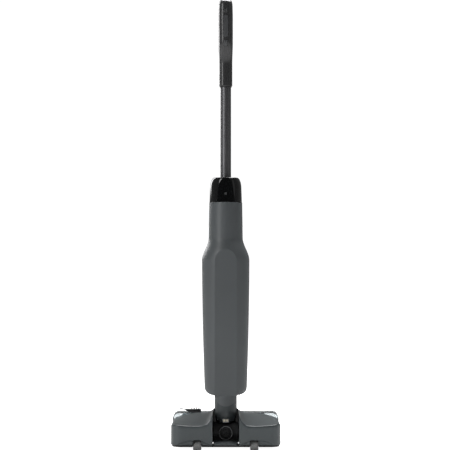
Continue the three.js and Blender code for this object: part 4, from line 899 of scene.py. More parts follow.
# %% [markdown]
# ## Handle release
#
# A 6 mm pin in the flat of the cap. Pressing it frees the tube.

# %% Handle release
release_low, release_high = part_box("handle_release")
release_z = (release_low.z + release_high.z) / 2
pin_r = (release_high.x - release_low.x) / 2
pin_profile = [(0.0, release_high.y), (pin_r, release_high.y), (pin_r, release_low.y + 0.6 * MM),
               (pin_r - 0.5 * MM, release_low.y), (pin_r - 1.4 * MM, release_low.y + 0.35 * MM),
               (0.0, release_low.y + 0.5 * MM)]
make("release_pin", turned(pin_profile, "y", (0, release_z), 40), "handle_release",
     satin_abs_dim, ["handle_release"], edge=0.15 * MM, angle=40, segments=2)

# %% [markdown]
# ## Handle tube
#
# A drawn tube is the simplest shape on the machine, so its looks rest on the finish. It is a
# turned profile with a real wall and 96 sides.

# %% Handle tube
tube_profile = [(TUBE_RADIUS - 1.6 * MM, tube_low.z), (TUBE_RADIUS, tube_low.z),
                (TUBE_RADIUS, tube_high.z),
                (TUBE_RADIUS - 1.6 * MM, tube_high.z)]
make("tube", turned_hoop(tube_profile, "z", (0, AXIS_Y), 96), "handle",
     anodised_tube, ["handle_tube"], angle=40)
ring_low, ring_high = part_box("handle_collar")
ring_r = (ring_high.x - ring_low.x) / 2
collar = [(TUBE_RADIUS + GAP, ring_low.z), (ring_r - 0.5 * MM, ring_low.z),
          (ring_r, ring_low.z + 0.6 * MM),
          (ring_r, ring_high.z), (TUBE_RADIUS + GAP, ring_high.z)]
make("collar", turned_hoop(collar, "z", (0, AXIS_Y)), "handle", matt_pp_black,
     ["handle_collar"], angle=40)

# %% [markdown]
# ## Grip
#
# The grip swells from a round sleeve and bends back towards the hand, so its outline is worked
# out level by level: half width, reach to the back and reach to the front. A power a little under
# one squares the oval, as a hand likes it. The flat strip with the buttons is let into its back.

# %% Grip
grip_low, grip_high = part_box("grip")
GRIP_TOP = grip_high.z
GRIP_HEIGHT = 154 * MM
GRIP_BOTTOM = GRIP_TOP - GRIP_HEIGHT
SLEEVE_HALF = 16.3 * MM
GRIP_HALF = 17.6 * MM
TOP_ROUND = 14 * MM
TOP_SHRINK = 0.96  # the last ring draws in a little, which softens the top's edge
SQUARENESS = 0.82


def grip_sizes(z):
    rise = (z - GRIP_BOTTOM) / GRIP_HEIGHT
    bulge = ease(rise / 0.34)
    lean = ease(rise / 0.9)
    tip = corner_inset(GRIP_TOP - z, TOP_ROUND)
    taper = 3 * MM * ease((rise - 0.72) / 0.28)
    half = between(SLEEVE_HALF, GRIP_HALF, bulge) - tip * 0.32 - taper * 0.3
    rear = SLEEVE_HALF + 26 * MM * bulge + 8 * MM * ease(rise / 0.8) - tip * 0.8
    front = SLEEVE_HALF - 8 * MM * bulge - 20 * MM * lean - tip * 0.4
    return half, rear, front


def grip_ring(z, inset=0.0, count=72):
    half, rear, front = grip_sizes(z)
    middle = AXIS_Y + (front - rear) / 2
    depth = (front + rear) / 2 - inset
    ring = []
    for i in range(count):
        turn = 2 * math.pi * i / count
        c, s = math.cos(turn), math.sin(turn)
        x = (half - inset) * math.copysign(abs(c) ** SQUARENESS, c)
        y = middle + depth * math.copysign(abs(s) ** SQUARENESS, s)
        ring.append((x, y, z))
    return ring


def rear_of_grip(z):
    return AXIS_Y - grip_sizes(z)[1]


grip_levels = [grip_low.z, grip_low.z + 0.8 * MM] + evenly(grip_low.z + 2 * MM, GRIP_BOTTOM, 6)
grip_levels += evenly(GRIP_BOTTOM, GRIP_TOP - TOP_ROUND, 40)[1:]
grip_levels += [GRIP_TOP - TOP_ROUND + TOP_ROUND * sind(a) for a in range(8, 91, 8)]
grip_rings = [grip_ring(z, 0.6 * MM if z == grip_low.z else 0.0) for z in grip_levels]
top_ring = grip_rings[-1]
middle_y = sum(p[1] for p in top_ring) / len(top_ring)
grip_rings.append([(x * TOP_SHRINK, middle_y + (y - middle_y) * TOP_SHRINK, GRIP_TOP) for x, y,
                   _ in top_ring])
grip = make("grip_shell", capped(grip_rings), "handle", soft_abs_grip, ["grip"],
            edge=0.5 * MM, angle=40)

# %% [markdown]
# ## Grip strip and buttons
#
# A harder strip let into the soft grip carries a round power key and a long mode key. The grip is
# curved, so the strip, its groove and the mode key are all swept by one function that follows the
# grip's back.

# %% Grip strip and buttons
strip_low, strip_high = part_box("grip_strip")
STRIP_HALF = 6 * MM
STRIP_CROWN = 0.25 * MM
STRIP_ROOM = 0.9 * MM  # the groove is this much larger all round


def strip_rows(low, high, half, outward, inward, levels=24):
    """A band that follows the back of the grip: each level is a small four-sided ring."""
    rows = []
    for z in evenly(low, high, levels):
        end = corner_inset(min(z - low, high - z), half * 0.6)
        y = rear_of_grip(z)
        w = half - end
        rows.append([(-w, y - outward, z), (-w * 0.5, y - outward - STRIP_CROWN, z),
                     (w * 0.5, y - outward - STRIP_CROWN, z),
                     (w, y - outward, z), (w, y + inward, z), (-w, y + inward, z)])
    return rows


groove = strip_rows(strip_low.z - STRIP_ROOM, strip_high.z + STRIP_ROOM, STRIP_HALF + STRIP_ROOM,
                    3 * MM, 1.6 * MM)
cut_out(grip, groove)
make("strip", capped(strip_rows(strip_low.z, strip_high.z, STRIP_HALF, -0.35 * MM, 1.5 * MM)),
     "handle", satin_abs_strip, ["grip_strip"], edge=0.3 * MM, angle=35,
     segments=2)

power_low, power_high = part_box("power_button")
power_z = (power_low.z + power_high.z) / 2
power_r = (power_high.x - power_low.x) / 2
power_y = power_low.y
well = lathe([(power_r + 0.5 * MM, power_y - 4 * MM), (power_r + 0.5 * MM, power_y + 4.5 * MM)],
             "y", (0, power_z), 40)
cut_out(grip, well)
power_profile = [(0.0, power_high.y), (power_r, power_high.y), (power_r, power_y + 0.9 * MM),
                 (power_r - 0.7 * MM, power_y + 0.2 * MM), (power_r - 1.6 * MM, power_y),
                 (power_r - 2.2 * MM, power_y + 0.5 * MM), (0.0, power_y + 0.7 * MM)]
make("power_key", turned(power_profile, "y", (0, power_z), 48), "power_button",
     satin_abs_dim, ["power_button"], edge=0.15 * MM, angle=40, segments=2)

mode_low, mode_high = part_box("mode_button")
well_rows = strip_rows(mode_low.z - 0.6 * MM, mode_high.z + 0.6 * MM, 5.1 * MM, 4 * MM, 4 * MM)
cut_out(grip, well_rows)
mode_rows = strip_rows(mode_low.z, mode_high.z, 4.5 * MM, 0.2 * MM, 1.7 * MM)
make("mode_key", capped(mode_rows), "mode_button", satin_abs_strip,
     ["mode_button"], edge=0.5 * MM, angle=35)

# %% [markdown]
# ## Neck and charging contacts
#
# The neck is a plain round column whose lower end is a dome, so that it can swivel in the yoke.
# The charging plate low on its back carries two plated pads.

# %% Neck
neck_low, neck_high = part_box("neck")
NECK_RADIUS = neck_high.x
THROAT = 12 * MM
DOME_Z = neck_low.z + math.sqrt(NECK_RADIUS ** 2 - THROAT ** 2)
dome = [(THROAT, neck_low.z)]
first = math.degrees(math.asin(THROAT / NECK_RADIUS))
dome += [(NECK_RADIUS * sind(a), DOME_Z - NECK_RADIUS * cosd(a)) for a in evenly(first, 90, 18)[1:]]
FLARE = 4 * MM  # the neck's top flares out to meet the body
straight = evenly(DOME_Z, neck_high.z - FLARE, 8)[1:]
neck_profile = [(NECK_RADIUS - 8 * MM, neck_high.z), (THROAT, DOME_Z)] + dome
neck_profile += [(NECK_RADIUS, z) for z in straight]
neck_profile += [(NECK_RADIUS + FLARE * (1 - cosd(a)), neck_high.z - FLARE + FLARE * sind(a))
                 for a in (25, 50, 75)]
neck_profile.append((NECK_RADIUS + 3.4 * MM, neck_high.z))
neck = make("neck_column", turned_hoop(neck_profile, "z", (0, AXIS_Y), 96), "main_body",
            satin_abs_neck, ["neck"], angle=40)

plate_low, plate_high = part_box("contact_holder")
window = rounded_box((plate_low.x - GAP, plate_low.y - 0.02, plate_low.z - GAP),
                     (plate_high.x + GAP, plate_high.y + 0.002, plate_high.z + GAP), 0.1 * MM, 2)
cut_out(neck, window)
plate_rows = [[(x, y, z) for x, z, y in ring] for ring in rounded_box(
    (plate_low.x, plate_low.z, plate_low.y), (plate_high.x, plate_high.z, plate_high.y), 2 * MM, 5)]
holder = make("contact_plate", capped(plate_rows), "main_body", satin_abs_pale,
              ["contact_holder"], edge=0.4 * MM, angle=35)
PAD_ROOM = 0.3 * MM
for name in ("left", "right"):
    pad_low, pad_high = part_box(f"{name}_charge_contact")
    pocket = rounded_box((pad_low.x - PAD_ROOM, pad_low.y - 10 * MM, pad_low.z - PAD_ROOM),
                         (pad_high.x + PAD_ROOM, pad_high.y, pad_high.z + PAD_ROOM), 0.2 * MM, 2)
    cut_out(holder, pocket)

# %% [markdown]
# ## Tilt yoke
#
# The black fork that the neck stands in. It is a barrel across the machine, a cup that holds the
# dome from the front and the sides, and a boss at the back with a round cover. The dome's room is
# cut out of it.

# %% Tilt yoke
yoke_low, yoke_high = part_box("tilt_yoke")
disc_low, disc_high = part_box("yoke_cap")
TILT_Z = (disc_low.z + disc_high.z) / 2
YOKE_HALF = yoke_high.x
BARREL = 26 * MM
BOSS = 18 * MM
barrel_profile = [(0.0, -YOKE_HALF), (BARREL - 1.5 * MM, -YOKE_HALF),
                  (BARREL, -YOKE_HALF + 1.5 * MM),
                  (BARREL, YOKE_HALF - 1.5 * MM), (BARREL - 1.5 * MM, YOKE_HALF), (0.0, YOKE_HALF)]
yoke_bm = turned(barrel_profile, "x", (AXIS_Y, TILT_Z), 72)
boss_profile = [(0.0, yoke_low.y), (BOSS - MM, yoke_low.y), (BOSS, yoke_low.y + MM), (BOSS, AXIS_Y),
                (0.0, AXIS_Y)]
yoke_bm = merge(yoke_bm, turned(boss_profile, "y", (0, TILT_Z), 64))
yoke = make("yoke_body", yoke_bm, "tilt_yoke", matt_pp_black, ["tilt_yoke"],
            angle=40)
cup_rows = []
for z in evenly(TILT_Z, yoke_high.z - 2 * MM, 12) + [yoke_high.z - 0.6 * MM, yoke_high.z]:
    pull = corner_inset(yoke_high.z - z, 2 * MM) * 0.6
    arc = [math.radians(a) for a in evenly(-14, 194, 44)]
    outer = [((YOKE_HALF - pull) * math.cos(a), AXIS_Y + (YOKE_HALF - pull) * math.sin(a),
              z) for a in arc]
    r = NECK_RADIUS - 3 * MM
    inner = [(r * math.cos(a), AXIS_Y + r * math.sin(a), z) for a in reversed(arc)]
    cup_rows.append(outer + inner)
carve(yoke, cutter_from(capped(cup_rows)), "UNION")
room = NECK_RADIUS + 0.5 * MM
socket_profile = [(0.0, DOME_Z - room)]
socket_profile += [(room * sind(a), DOME_Z - room * cosd(a))
                   for a in evenly(0, 90, 20)[1:]]
socket_profile += [(room, 0.2), (0.0, 0.2)]
carve(yoke, cutter_from(turned(socket_profile, "z", (0, AXIS_Y), 80)))
plate_room = lathe([(0.0, plate_low.z - MM), (24 * MM, plate_low.z - MM), (24 * MM, DOME_Z),
                    (0.0, DOME_Z)], "z",
                   (0, AXIS_Y), 64)
carve(yoke, cutter_from(skin(plate_room)))
round_edges(yoke, 0.6 * MM, angle=40, segments=2)

# %% [markdown]
# ## Round cover on the yoke
#
# A pressed-in disc hides the joint's screw, with a hoop round it. Both are turned profiles,
# and the shallow grooves in the disc are drawn in the profile, so they catch the light as real
# ones do. The hoop is a real part, but its pale colour is a painted highlight: it stands in for
# the bright arc that light puts on its lower half.

# %% Round cover on the yoke
disc_r = disc_high.x
back = disc_low.y
cover_profile = [(0.0, disc_high.y), (disc_r, disc_high.y), (disc_r, back + 1.2 * MM),
                 (disc_r - 1.2 * MM, back + 0.5 * MM),
                 (disc_r - 3 * MM, back + 0.3 * MM), (disc_r - 3.6 * MM, back + 1.1 * MM),
                 (disc_r - 5 * MM, back + 1.1 * MM), (disc_r - 5.8 * MM, back + 0.2 * MM),
                 (4.6 * MM, back),
                 (4.2 * MM, back + 0.8 * MM), (3.0 * MM, back + 0.8 * MM),
                 (2.6 * MM, back + 0.1 * MM), (0.0, back)]
make("yoke_cover", turned(cover_profile, "y", (0, TILT_Z), 72), "tilt_yoke",
     matt_pp_black, ["yoke_cap"], edge=0.15 * MM, angle=30, segments=2)
hoop_low, hoop_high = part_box("yoke_cap_ring")
hoop_r = hoop_high.x
hoop = [(disc_r + GAP, hoop_high.y), (hoop_r, hoop_high.y),
        (hoop_r - 0.3 * MM, hoop_low.y + 0.4 * MM),
        (hoop_r - 0.9 * MM, hoop_low.y), (disc_r + GAP + 0.4 * MM, hoop_low.y + 0.2 * MM)]
# The hoop's pale colour is a painted highlight, in place of the bright arc of light on the ring.
make("yoke_hoop_painted_highlight", turned_hoop(hoop, "y", (0, TILT_Z), 72), "tilt_yoke",
     satin_abs_pale, ["yoke_cap_ring"], angle=40)

# %% [markdown]
# ## Lobes of the floor head
#
# Left and right covers mirror each other. Each is a sheet worked out from formulas: the plan
# corner is an arc, the rear wall stands upright and tucks in over the wheel, and the top sweeps
# up to the ridge and climbs beside the neck. The line where wall meets top is a real crease, so
# it gets a tight rounding.

# %% Lobes
lobe_low, lobe_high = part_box("right_lobe_cover")
HEAD_HALF = cad_high.x
REAR_Y = cad_low.y
RIDGE_Y = lobe_high.y
SLOT_HALF = lobe_low.x
HEAD_CORNER = 26 * MM
EDGE_ROUND = 8 * MM
REAR_TOP = 61 * MM
RIDGE_TOP = 76 * MM
COLLAR_RISE = 28 * MM
COLLAR_REACH = 8 * MM
END_REACH = 70 * MM
END_DROP = 15 * MM
wheel_low, wheel_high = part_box("right_wheel_tyre")
WHEEL_X = (wheel_low.x + wheel_high.x) / 2
WHEEL_ROOM_HALF = 11.6 * MM
WHEEL_ROOM_TOP = 27 * MM
WHEEL_ROOM_CORNER = 5 * MM
ARCH_RISE, ARCH_HALF, ARCH_SHIFT = 13 * MM, 44 * MM, 8 * MM
TUCK_DEPTH = 2.6 * MM  # how far the wall stands in below the arch
CREASE_ROUND = 3.2 * MM
END_SWELL = 6 * MM  # the wall grows taller towards the end of the head


def lobe_heights(x):
    collar = math.exp(-max(x - SLOT_HALF, 0) / COLLAR_REACH)
    outward = clamp(1 - (HEAD_HALF - x) / END_REACH) ** 2
    rear = REAR_TOP + COLLAR_RISE * collar + END_SWELL * outward
    ridge = RIDGE_TOP + COLLAR_RISE * collar / 3 - END_DROP * outward
    return rear, ridge


def arch_height(x):
    """The soft arch pressed into the foot of the wall around the wheel."""
    reach = (x - WHEEL_X - ARCH_SHIFT) / ARCH_HALF
    return lobe_low.z + ARCH_RISE * max(1 - reach * reach, 0.0)


def wheel_room_top(x):
    """Upper edge of the wheel's opening in the rear wall, with round corners. It is 0 beside it."""
    inside = WHEEL_ROOM_HALF - abs(x - WHEEL_X)
    return WHEEL_ROOM_TOP - corner_inset(inside, WHEEL_ROOM_CORNER) if inside >= 0 else 0.0


def lobe_row(x):
    end = HEAD_HALF - x
    rear = REAR_Y + corner_inset(end, HEAD_CORNER)
    drop = corner_inset(end, EDGE_ROUND)
    in_wheel_room = abs(x - WHEEL_X) <= WHEEL_ROOM_HALF
    rear_top, ridge_top = lobe_heights(x)
    rear_top -= drop
    ridge_top -= drop
    arch = arch_height(x)
    row = []
    foot = max(lobe_low.z, wheel_room_top(x))
    depth = 0.0 if in_wheel_room else TUCK_DEPTH * ease((arch - lobe_low.z) / (6 * MM))
    for z in sorted(evenly(lobe_low.z, arch, 3)[:-1] + [arch - 0.8 * MM, arch, arch + 0.8 * MM]):
        z = max(z, foot)
        tuck = depth * ease((arch + 0.4 * MM - z) / (2.5 * MM))
        row.append((x, rear + tuck, z))
    for z in evenly(arch + 2 * MM, rear_top - CREASE_ROUND, 7):
        row.append((x, rear, max(z, foot)))
    for turn in (30, 60, 90):
        row.append((x, rear + CREASE_ROUND * (1 - cosd(turn)),
                    rear_top - CREASE_ROUND + CREASE_ROUND * sind(turn)))
    for t in evenly(0, 1, 22)[1:]:
        y = between(rear + CREASE_ROUND, RIDGE_Y - 1.5 * MM, t)
        row.append((x, y, between(rear_top, ridge_top, math.sin(t * math.pi / 2))))
    row.append((x, RIDGE_Y, ridge_top - 1.2 * MM))
    row.append((x, RIDGE_Y, ridge_top - 6 * MM))
    return row


def build_lobe(side):
    offsets = (0, 1, 2.5, 4, 6, 8, 11, 14, 18, 23, 29, 36, 44, 52, 60, 68)
    stations = [SLOT_HALF + d * MM for d in offsets]
    for d in (11.61, 11.6, 11.3, 10.5, 9.3, 6.6):
        stations += [WHEEL_X - d * MM, WHEEL_X + d * MM]
    corner_start = HEAD_HALF - HEAD_CORNER
    turns = (0, 12, 24, 36, 46, 55, 63, 70, 76, 82)
    stations += [corner_start + HEAD_CORNER * sind(a) for a in turns]
    stations.append(HEAD_HALF - 0.15 * MM)
    rows = [lobe_row(x) for x in sorted(stations)]
    # The inner wall beside the neck and the outer end close the sheet down to its foot.
    ends = [[(x, y, lobe_low.z) for x, y, _ in row] for row in (rows[0], rows[-1])]
    rows = ends[:1] + rows + ends[1:]
    rows = [[(side * x, y, z) for x, y, z in row] for row in rows]
    return skin(rows, closed=False)


for side, name in ((-1, "left"), (1, "right")):
    make(f"{name}_lobe_shell", build_lobe(side), "floor_head", satin_abs_head,
         [f"{name}_lobe_cover"], wall=2.4 * MM, angle=50,
         inside=lambda p, s=side: Vector((s * 0.08, min(p.y + 0.03, 0.0), 0.015)))

# %% [markdown]
# ## Bridge and rear block
#
# The bridge joins both lobes in front of the neck. The block behind the neck is low, so that the
# machine can lean back over it.

# %% Bridge and rear block
bridge_low, bridge_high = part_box("bridge_cover")
BRIDGE_ROUND, BRIDGE_FALL = 10 * MM, 7 * MM
bridge_rows = []
for x in evenly(bridge_low.x, bridge_high.x, 20):
    edge_drop = corner_inset(min(x - bridge_low.x, bridge_high.x - x), 3 * MM)
    row = [(x, bridge_low.y, bridge_low.z)]
    top = bridge_high.z - edge_drop
    row += [(x, bridge_low.y + BRIDGE_ROUND * (1 - cosd(a)),
             top - BRIDGE_ROUND + BRIDGE_ROUND * sind(a))
            for a in evenly(0, 90, 8)]
    for t in evenly(0, 1, 8)[1:]:
        row.append((x, between(bridge_low.y + BRIDGE_ROUND, bridge_high.y, t),
                    top - BRIDGE_FALL * ease(t)))
    row.append((x, bridge_high.y, bridge_low.z))
    bridge_rows.append(row)
make("bridge_shell", skin(bridge_rows, closed=False), "floor_head", satin_abs_head,
     ["bridge_cover"], wall=2.2 * MM, angle=40, inside=lambda p: Vector((0, 0.015, 0.03)))

block_low, block_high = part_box("rear_block")
block_rows = []
for z, inset in ((block_low.z, 0.0), (block_high.z - 3 * MM, 0.0),
                 (block_high.z - 0.8 * MM, 0.8 * MM),
                 (block_high.z, 3 * MM)):
    corner = rounded_box((block_low.x + inset, block_low.y + inset, z),
                         (block_high.x - inset, block_high.y - inset, z),
                         6 * MM, 8)[0]
    block_rows.append(corner)
block = make("rear_block_shell", capped(block_rows), "floor_head", satin_abs_head,
             ["rear_block"], edge=0.4 * MM, angle=30)
notch = rounded_box((-12 * MM, block_low.z + 3 * MM, block_low.y - 0.01),
                    (12 * MM, block_high.z + 0.02,
                    block_low.y + 1.6 * MM), 2 * MM, 4)
cut_out(block, [[(x, y, z) for x, z, y in ring] for ring in notch])

# %% [markdown]
# ## Clear brush cover and its button
#
# The cover is a curved, clear lid over the roller. Its outline is swept from end to end with
# rounded ends, and its wall is 2.4 mm thick. The ribbed button that frees it sits on its left.

# %% Brush cover
cover_low, cover_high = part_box("brush_cover")
roller_low, roller_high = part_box("roller_nap")
ROLLER_Y = (roller_low.y + roller_high.y) / 2
ROLLER_Z = (roller_low.z + roller_high.z) / 2
cover_reach = cover_high.y - ROLLER_Y
COVER_TOP_ROUND, COVER_CORNER, COVER_LIP = 16 * MM, 22 * MM, 6 * MM


def cover_row(x):
    end = HEAD_HALF - abs(x)
    drop = corner_inset(end, COVER_TOP_ROUND)
    front_in = corner_inset(end, COVER_CORNER)
    top = cover_high.z - drop
    row = [(x, cover_low.y, between(cover_low.z, top, t)) for t in (0.45, 0.7, 0.9)]
    row += [(x, between(cover_low.y, ROLLER_Y, t), top) for t in evenly(0, 1, 6)]
    for turn in evenly(90, 0, 16)[1:]:
        row.append((x, ROLLER_Y + (cover_reach - front_in) * cosd(turn),
                    ROLLER_Z + (top - ROLLER_Z) * sind(turn)))
    row.append((x, ROLLER_Y + cover_reach - front_in, cover_low.z + COVER_LIP))
    row.append((x, ROLLER_Y + cover_reach - front_in, cover_low.z))
    return row


cover_stations = [-HEAD_HALF + 0.2 * MM]
cover_stations += [-HEAD_HALF + COVER_CORNER * (1 - cosd(a)) for a in (14, 26, 38, 50, 62, 76, 90)]
cover_stations += evenly(-HEAD_HALF + COVER_CORNER, 0, 8)[1:]
cover_stations += [-x for x in reversed(cover_stations[:-1])]
cover_rows = [cover_row(x) for x in cover_stations]
ends = [[(x, y, min(z, cover_low.z + COVER_LIP)) for x, y, z in row]
        for row in (cover_rows[0], cover_rows[-1])]
cover_rows = ends[:1] + cover_rows + ends[1:]
make("clear_lid", skin(cover_rows, closed=False), "brush_cover",
     clear_polycarbonate, ["brush_cover"], wall=2.4 * MM, angle=40,
     inside=lambda p: Vector((p.x * 0.9, ROLLER_Y, ROLLER_Z)))

button_low, button_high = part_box("cover_button")


def lever_ring(x):
    """The button is a slim lever: thin and curled up at its far end, thick under the grip ribs."""
    t = (x - button_low.x) / (button_high.x - button_low.x)
    top = between(button_high.z - 3 * MM, button_high.z - 5 * MM, ease(t / 0.5))
    thick = between(1.6 * MM, 9 * MM, ease((t - 0.2) / 0.4))
    half = between(5 * MM, (button_high.y - button_low.y) / 2, ease(t / 0.5))
    middle = (button_low.y + button_high.y) / 2
    return [(x, middle - half, top - thick), (x, middle - half, top - 0.6 * MM),
            (x, middle - half * 0.9, top),
            (x, middle + half * 0.9, top), (x, middle + half, top - 0.6 * MM),
            (x, middle + half, top - thick)]


lever = capped([lever_ring(x) for x in evenly(button_low.x, button_high.x, 24)])
for x in evenly(button_high.x - 25 * MM, button_high.x - 3 * MM, 5):
    fin = rounded_box((x - 1.1 * MM, button_low.y + 1.5 * MM, button_high.z - 6 * MM),
                      (x + 1.1 * MM, button_high.y - 1.5 * MM, button_high.z), 0.9 * MM, 4)
    lever = merge(lever, capped(fin))
make("cover_lever", lever, "cover_button", matt_pp_black, ["cover_button"],
     edge=0.4 * MM, angle=35, segments=2)

# %% [markdown]
# ## Roller
#
# A microfibre sleeve on a plastic core. The sleeve is turned with many sides and its surface is
# moved in and out by a smooth wave of 0.5 mm, which gives the wound look of pile. The left end
# cap has a pull tab.

# %% Roller
NAP_R = (roller_high.z - roller_low.z) / 2
NAP_SIDES = 120
WAVE, RIPPLE = 0.25 * MM, 0.12 * MM
nap_rows = []
for i, x in enumerate(evenly(roller_low.x, roller_high.x, 110)):
    shrink = corner_inset(min(x - roller_low.x, roller_high.x - x), 3 * MM)
    ring = []
    for k in range(NAP_SIDES):
        turn = 2 * math.pi * k / NAP_SIDES
        wave = WAVE * (1 + math.sin(3 * turn + x / MM * 0.42))
        wave += RIPPLE * math.sin(17 * turn + i * 1.7)
        r = NAP_R - shrink - max(wave, 0.0)
        ring.append((x, ROLLER_Y + r * math.cos(turn), ROLLER_Z + r * math.sin(turn)))
    nap_rows.append(ring)
core_low, core_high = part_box("roller_core")
CORE_R = (core_high.z - core_low.z) / 2 + GAP
bore_rows = lathe([(CORE_R, roller_high.x), (CORE_R, roller_low.x)], "x", (ROLLER_Y, ROLLER_Z),
                  NAP_SIDES)
make("pile_sleeve", skin(nap_rows + bore_rows + nap_rows[:1]), "roller",
     microfibre_pile, ["roller_nap"], angle=50)

end_low, end_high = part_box("roller_end_cap")
end_r = (end_high.z - end_low.z) / 2
out = end_low.x
plug = [(0.0, end_high.x), (end_r - 3.4 * MM, end_high.x), (end_r - 3.4 * MM, roller_low.x - GAP),
        (end_r, roller_low.x - GAP),
        (end_r, out + 5 * MM), (end_r - 1.5 * MM, out + 3.2 * MM), (end_r - 5 * MM, out + 3.2 * MM),
        (end_r - 6 * MM, out + 5.5 * MM), (0.0, out + 5.5 * MM)]
cap_bm = turned(plug, "x", (ROLLER_Y, ROLLER_Z), 72)
tab = rounded_box((out, ROLLER_Y - 14 * MM, ROLLER_Z - 2.5 * MM),
                  (out + 6 * MM, ROLLER_Y + 14 * MM, ROLLER_Z + 2.5 * MM),
                  1.2 * MM, 4)
cap_bm = merge(cap_bm, capped(tab))
make("roller_plug", cap_bm, "roller", matt_pp_black, ["roller_end_cap"],
     edge=0.4 * MM, angle=35, segments=2)

# %% [markdown]
# ## Wheels
#
# Two small rollers carry the back of the head. The tread is crowned and has fine grooves that
# stop it squeaking on wet tile, and each hub has a recessed face. Both are turned profiles with
# the grooves drawn in them.

# %% Wheels
GROOVE_DEPTH = 0.22 * MM
for name in ("left", "right"):
    tyre_low, tyre_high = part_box(f"{name}_wheel_tyre")
    radius = (tyre_high.z - tyre_low.z) / 2
    centre = ((tyre_low.y + tyre_high.y) / 2, (tyre_low.z + tyre_high.z) / 2)
    width = tyre_high.x - tyre_low.x
    tread = [(radius - 3.2 * MM, tyre_low.x + 0.2 * MM), (radius - 1.6 * MM, tyre_low.x)]
    for i, t in enumerate(evenly(0, 1, 36)):
        crown = 1.1 * MM * abs(2 * t - 1) ** 4
        groove = GROOVE_DEPTH if i % 6 == 3 else 0.0
        tread.append((radius - crown - groove, tyre_low.x + 0.6 * MM + (width - 1.2 * MM) * t))
    tread += [(radius - 1.6 * MM, tyre_high.x), (radius - 3.2 * MM, tyre_high.x - 0.2 * MM)]
    make(f"{name}_tread", turned_hoop(tread, "x", centre, 72), f"{name}_wheel",
         dusty_tpu_tread, [f"{name}_wheel_tyre"], angle=45)
    hub_low, hub_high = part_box(f"{name}_wheel_hub")
    rim = (hub_high.z - hub_low.z) / 2
    hub = [(3.4 * MM, hub_low.x), (4.6 * MM, hub_low.x), (5.0 * MM, hub_low.x + 1.5 * MM),
           (rim - 1.8 * MM, hub_low.x + 1.5 * MM),
           (rim - 1.2 * MM, hub_low.x), (rim, hub_low.x), (rim, hub_high.x),
           (rim - 1.2 * MM, hub_high.x),
           (rim - 1.8 * MM, hub_high.x - 1.5 * MM), (5.0 * MM, hub_high.x - 1.5 * MM),
           (4.6 * MM, hub_high.x), (3.4 * MM, hub_high.x)]
    make(f"{name}_hub", turned_hoop(hub, "x", centre, 48), f"{name}_wheel",
         matt_pp_black, [f"{name}_wheel_hub"], angle=35)

# %% [markdown]
# ## Pieces that keep their mechanical shape
#
# Axles, boards, motors and ducts are right as they are. They get the finish of the real material,
# so that they look right wherever a gap or a clear wall shows them.

# %% Finishes on mechanical pieces
KEPT = {
    "head_base": matt_pp_black, "suction_duct": matt_pp_black, "spray_bar": matt_pp_black,
    "squeegee": epdm_black, "front_bumper": epdm_black, "drive_belt": epdm_black,
    "motor_gasket": epdm_black,
    "suction_hose": epdm_black, "roller_core": soft_abs_grip, "roller_pulley": matt_pp_black,
    "left_wheel_axle": turned_steel, "right_wheel_axle": turned_steel,
    "left_pivot_pin": turned_steel,
    "right_pivot_pin": turned_steel, "motor_pulley": turned_steel,
    "brush_motor": enamelled_steel_case,
    "suction_motor": enamelled_steel_case, "water_pump": enamelled_steel_case,
    "impeller": satin_abs_pale,
    "battery_pack": pvc_shrink_film, "main_board": solder_mask, "display_board": solder_mask,
    "tank_filter": pleated_filter_felt, "left_charge_contact": gold_plated_brass,
    "right_charge_contact": gold_plated_brass,
}
for node_name, material in KEPT.items():
    node_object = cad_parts[node_name]
    for material_slot in node_object.material_slots:
        material_slot.material = material
print("kept mechanical pieces:", len(KEPT), "rebuilt pieces:", len(PIECES))

# %% [markdown]
# ## Floor
#
# The set is a plain pale floor without an end, made as one large face. It glows to the camera, so
# that it looks white, and hardly at all as a light, so that it doesn't wash out the underside of
# the head.

# %% Floor
floor_mesh = bpy.data.meshes.new("floor")
FLOOR_REACH = 400.0
floor_corners = [(-FLOOR_REACH, -FLOOR_REACH, 0), (FLOOR_REACH, -FLOOR_REACH, 0),
                 (FLOOR_REACH, FLOOR_REACH, 0),
                 (-FLOOR_REACH, FLOOR_REACH, 0)]
floor_mesh.from_pydata(floor_corners, [], [(0, 1, 2, 3)])
floor = new_object("floor", floor_mesh)
floor_paint, floor_tree, floor_shader, _ = new_material("pale_floor", Roughness=0.9)
floor_shader.inputs["Base Color"].default_value = linear("#f4f4f4")
floor_shader.inputs["Emission Color"].default_value = (1, 1, 1, 1)
camera_ray = add_node(floor_tree, "ShaderNodeLightPath")
glow = add_node(floor_tree, "ShaderNodeMapRange", {"To Min": 0.04, "To Max": 1.0},
                {"Value": camera_ray.outputs["Is Camera Ray"]})
floor_tree.links.new(glow.outputs["Result"], floor_shader.inputs["Emission Strength"])
floor_mesh.materials.append(floor_paint)

# %% [markdown]
# ## Sky
#
# A photographer's cove is pale all round but dark where the camera stands. The sky is bright to
# the eye and dimmer as a light, and dimmest behind the camera, so that glossy black stays black.

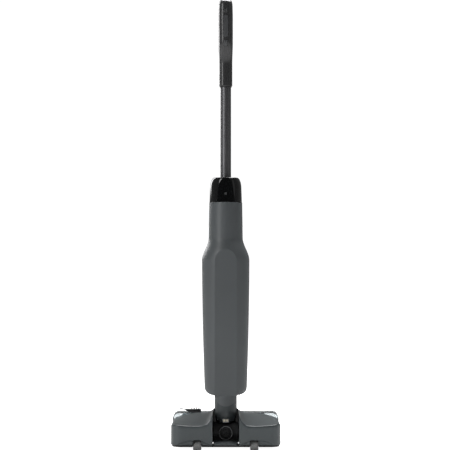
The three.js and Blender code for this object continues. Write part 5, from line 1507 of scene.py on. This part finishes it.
# %% Sky
SKY_SEEN = 1.05
world = bpy.data.worlds.new("studio")
world.use_nodes = True
bpy.context.scene.world = world
sky = world.node_tree
direction = add_node(sky, "ShaderNodeTexCoord")
split = add_node(sky, "ShaderNodeSeparateXYZ", links={"Vector": direction.outputs["Generated"]})
shade = add_node(sky, "ShaderNodeMapRange",
                 {"From Min": -1.0, "From Max": -0.3, "To Min": 0.05, "To Max": 0.20},
                 {"Value": split.outputs["Y"]})
sky.nodes["Background"].inputs["Color"].default_value = (1, 1, 1, 1)
sky.links.new(shade.outputs["Result"], sky.nodes["Background"].inputs["Strength"])
seen = add_node(sky, "ShaderNodeBackground", {"Color": (1, 1, 1, 1), "Strength": SKY_SEEN})
path = add_node(sky, "ShaderNodeLightPath")
choose = add_node(sky, "ShaderNodeMixShader", links={"Fac": path.outputs["Is Camera Ray"]})
sky.links.new(sky.nodes["Background"].outputs["Background"], choose.inputs[1])
sky.links.new(seen.outputs["Background"], choose.inputs[2])
sky.links.new(choose.outputs["Shader"], sky.nodes["World Output"].inputs["Surface"])
print("sky nodes:", len(sky.nodes))

# %% [markdown]
# ## Soft boxes
#
# A tall soft box high on the left gives the long highlight on tube and column, and a very dim one
# on the right keeps the far side readable. One overhead lights the top of the head, and one ahead
# on the left lights the tanks and the rims. Area lights are used because their shape is what
# gloss and metal mirror.


# %% Soft boxes
def soft_box(name, place, aim, width, height, watts):
    data = bpy.data.lights.new(name, "AREA")
    data.shape = "RECTANGLE"
    data.size = width
    data.size_y = height
    data.energy = watts
    lamp = new_object(name, data)
    lamp.location = place
    lamp.rotation_euler = (Vector(aim) - Vector(place)).to_track_quat("-Z", "Y").to_euler()
    print(f"{name}: {watts} W")


soft_box("key_left", (-2.0, -1.9, 1.5), (0, 0, 0.6), 0.8, 2.4, 34)
soft_box("fill_right", (2.3, -1.2, 1.0), (0, 0, 0.5), 0.6, 2.0, 1)
soft_box("overhead", (0.3, 0.7, 2.4), (0, 0, 0), 1.6, 1.2, 75)
soft_box("front_left", (-1.6, 2.2, 1.6), (0, 0, 0.5), 1.0, 1.8, 30)
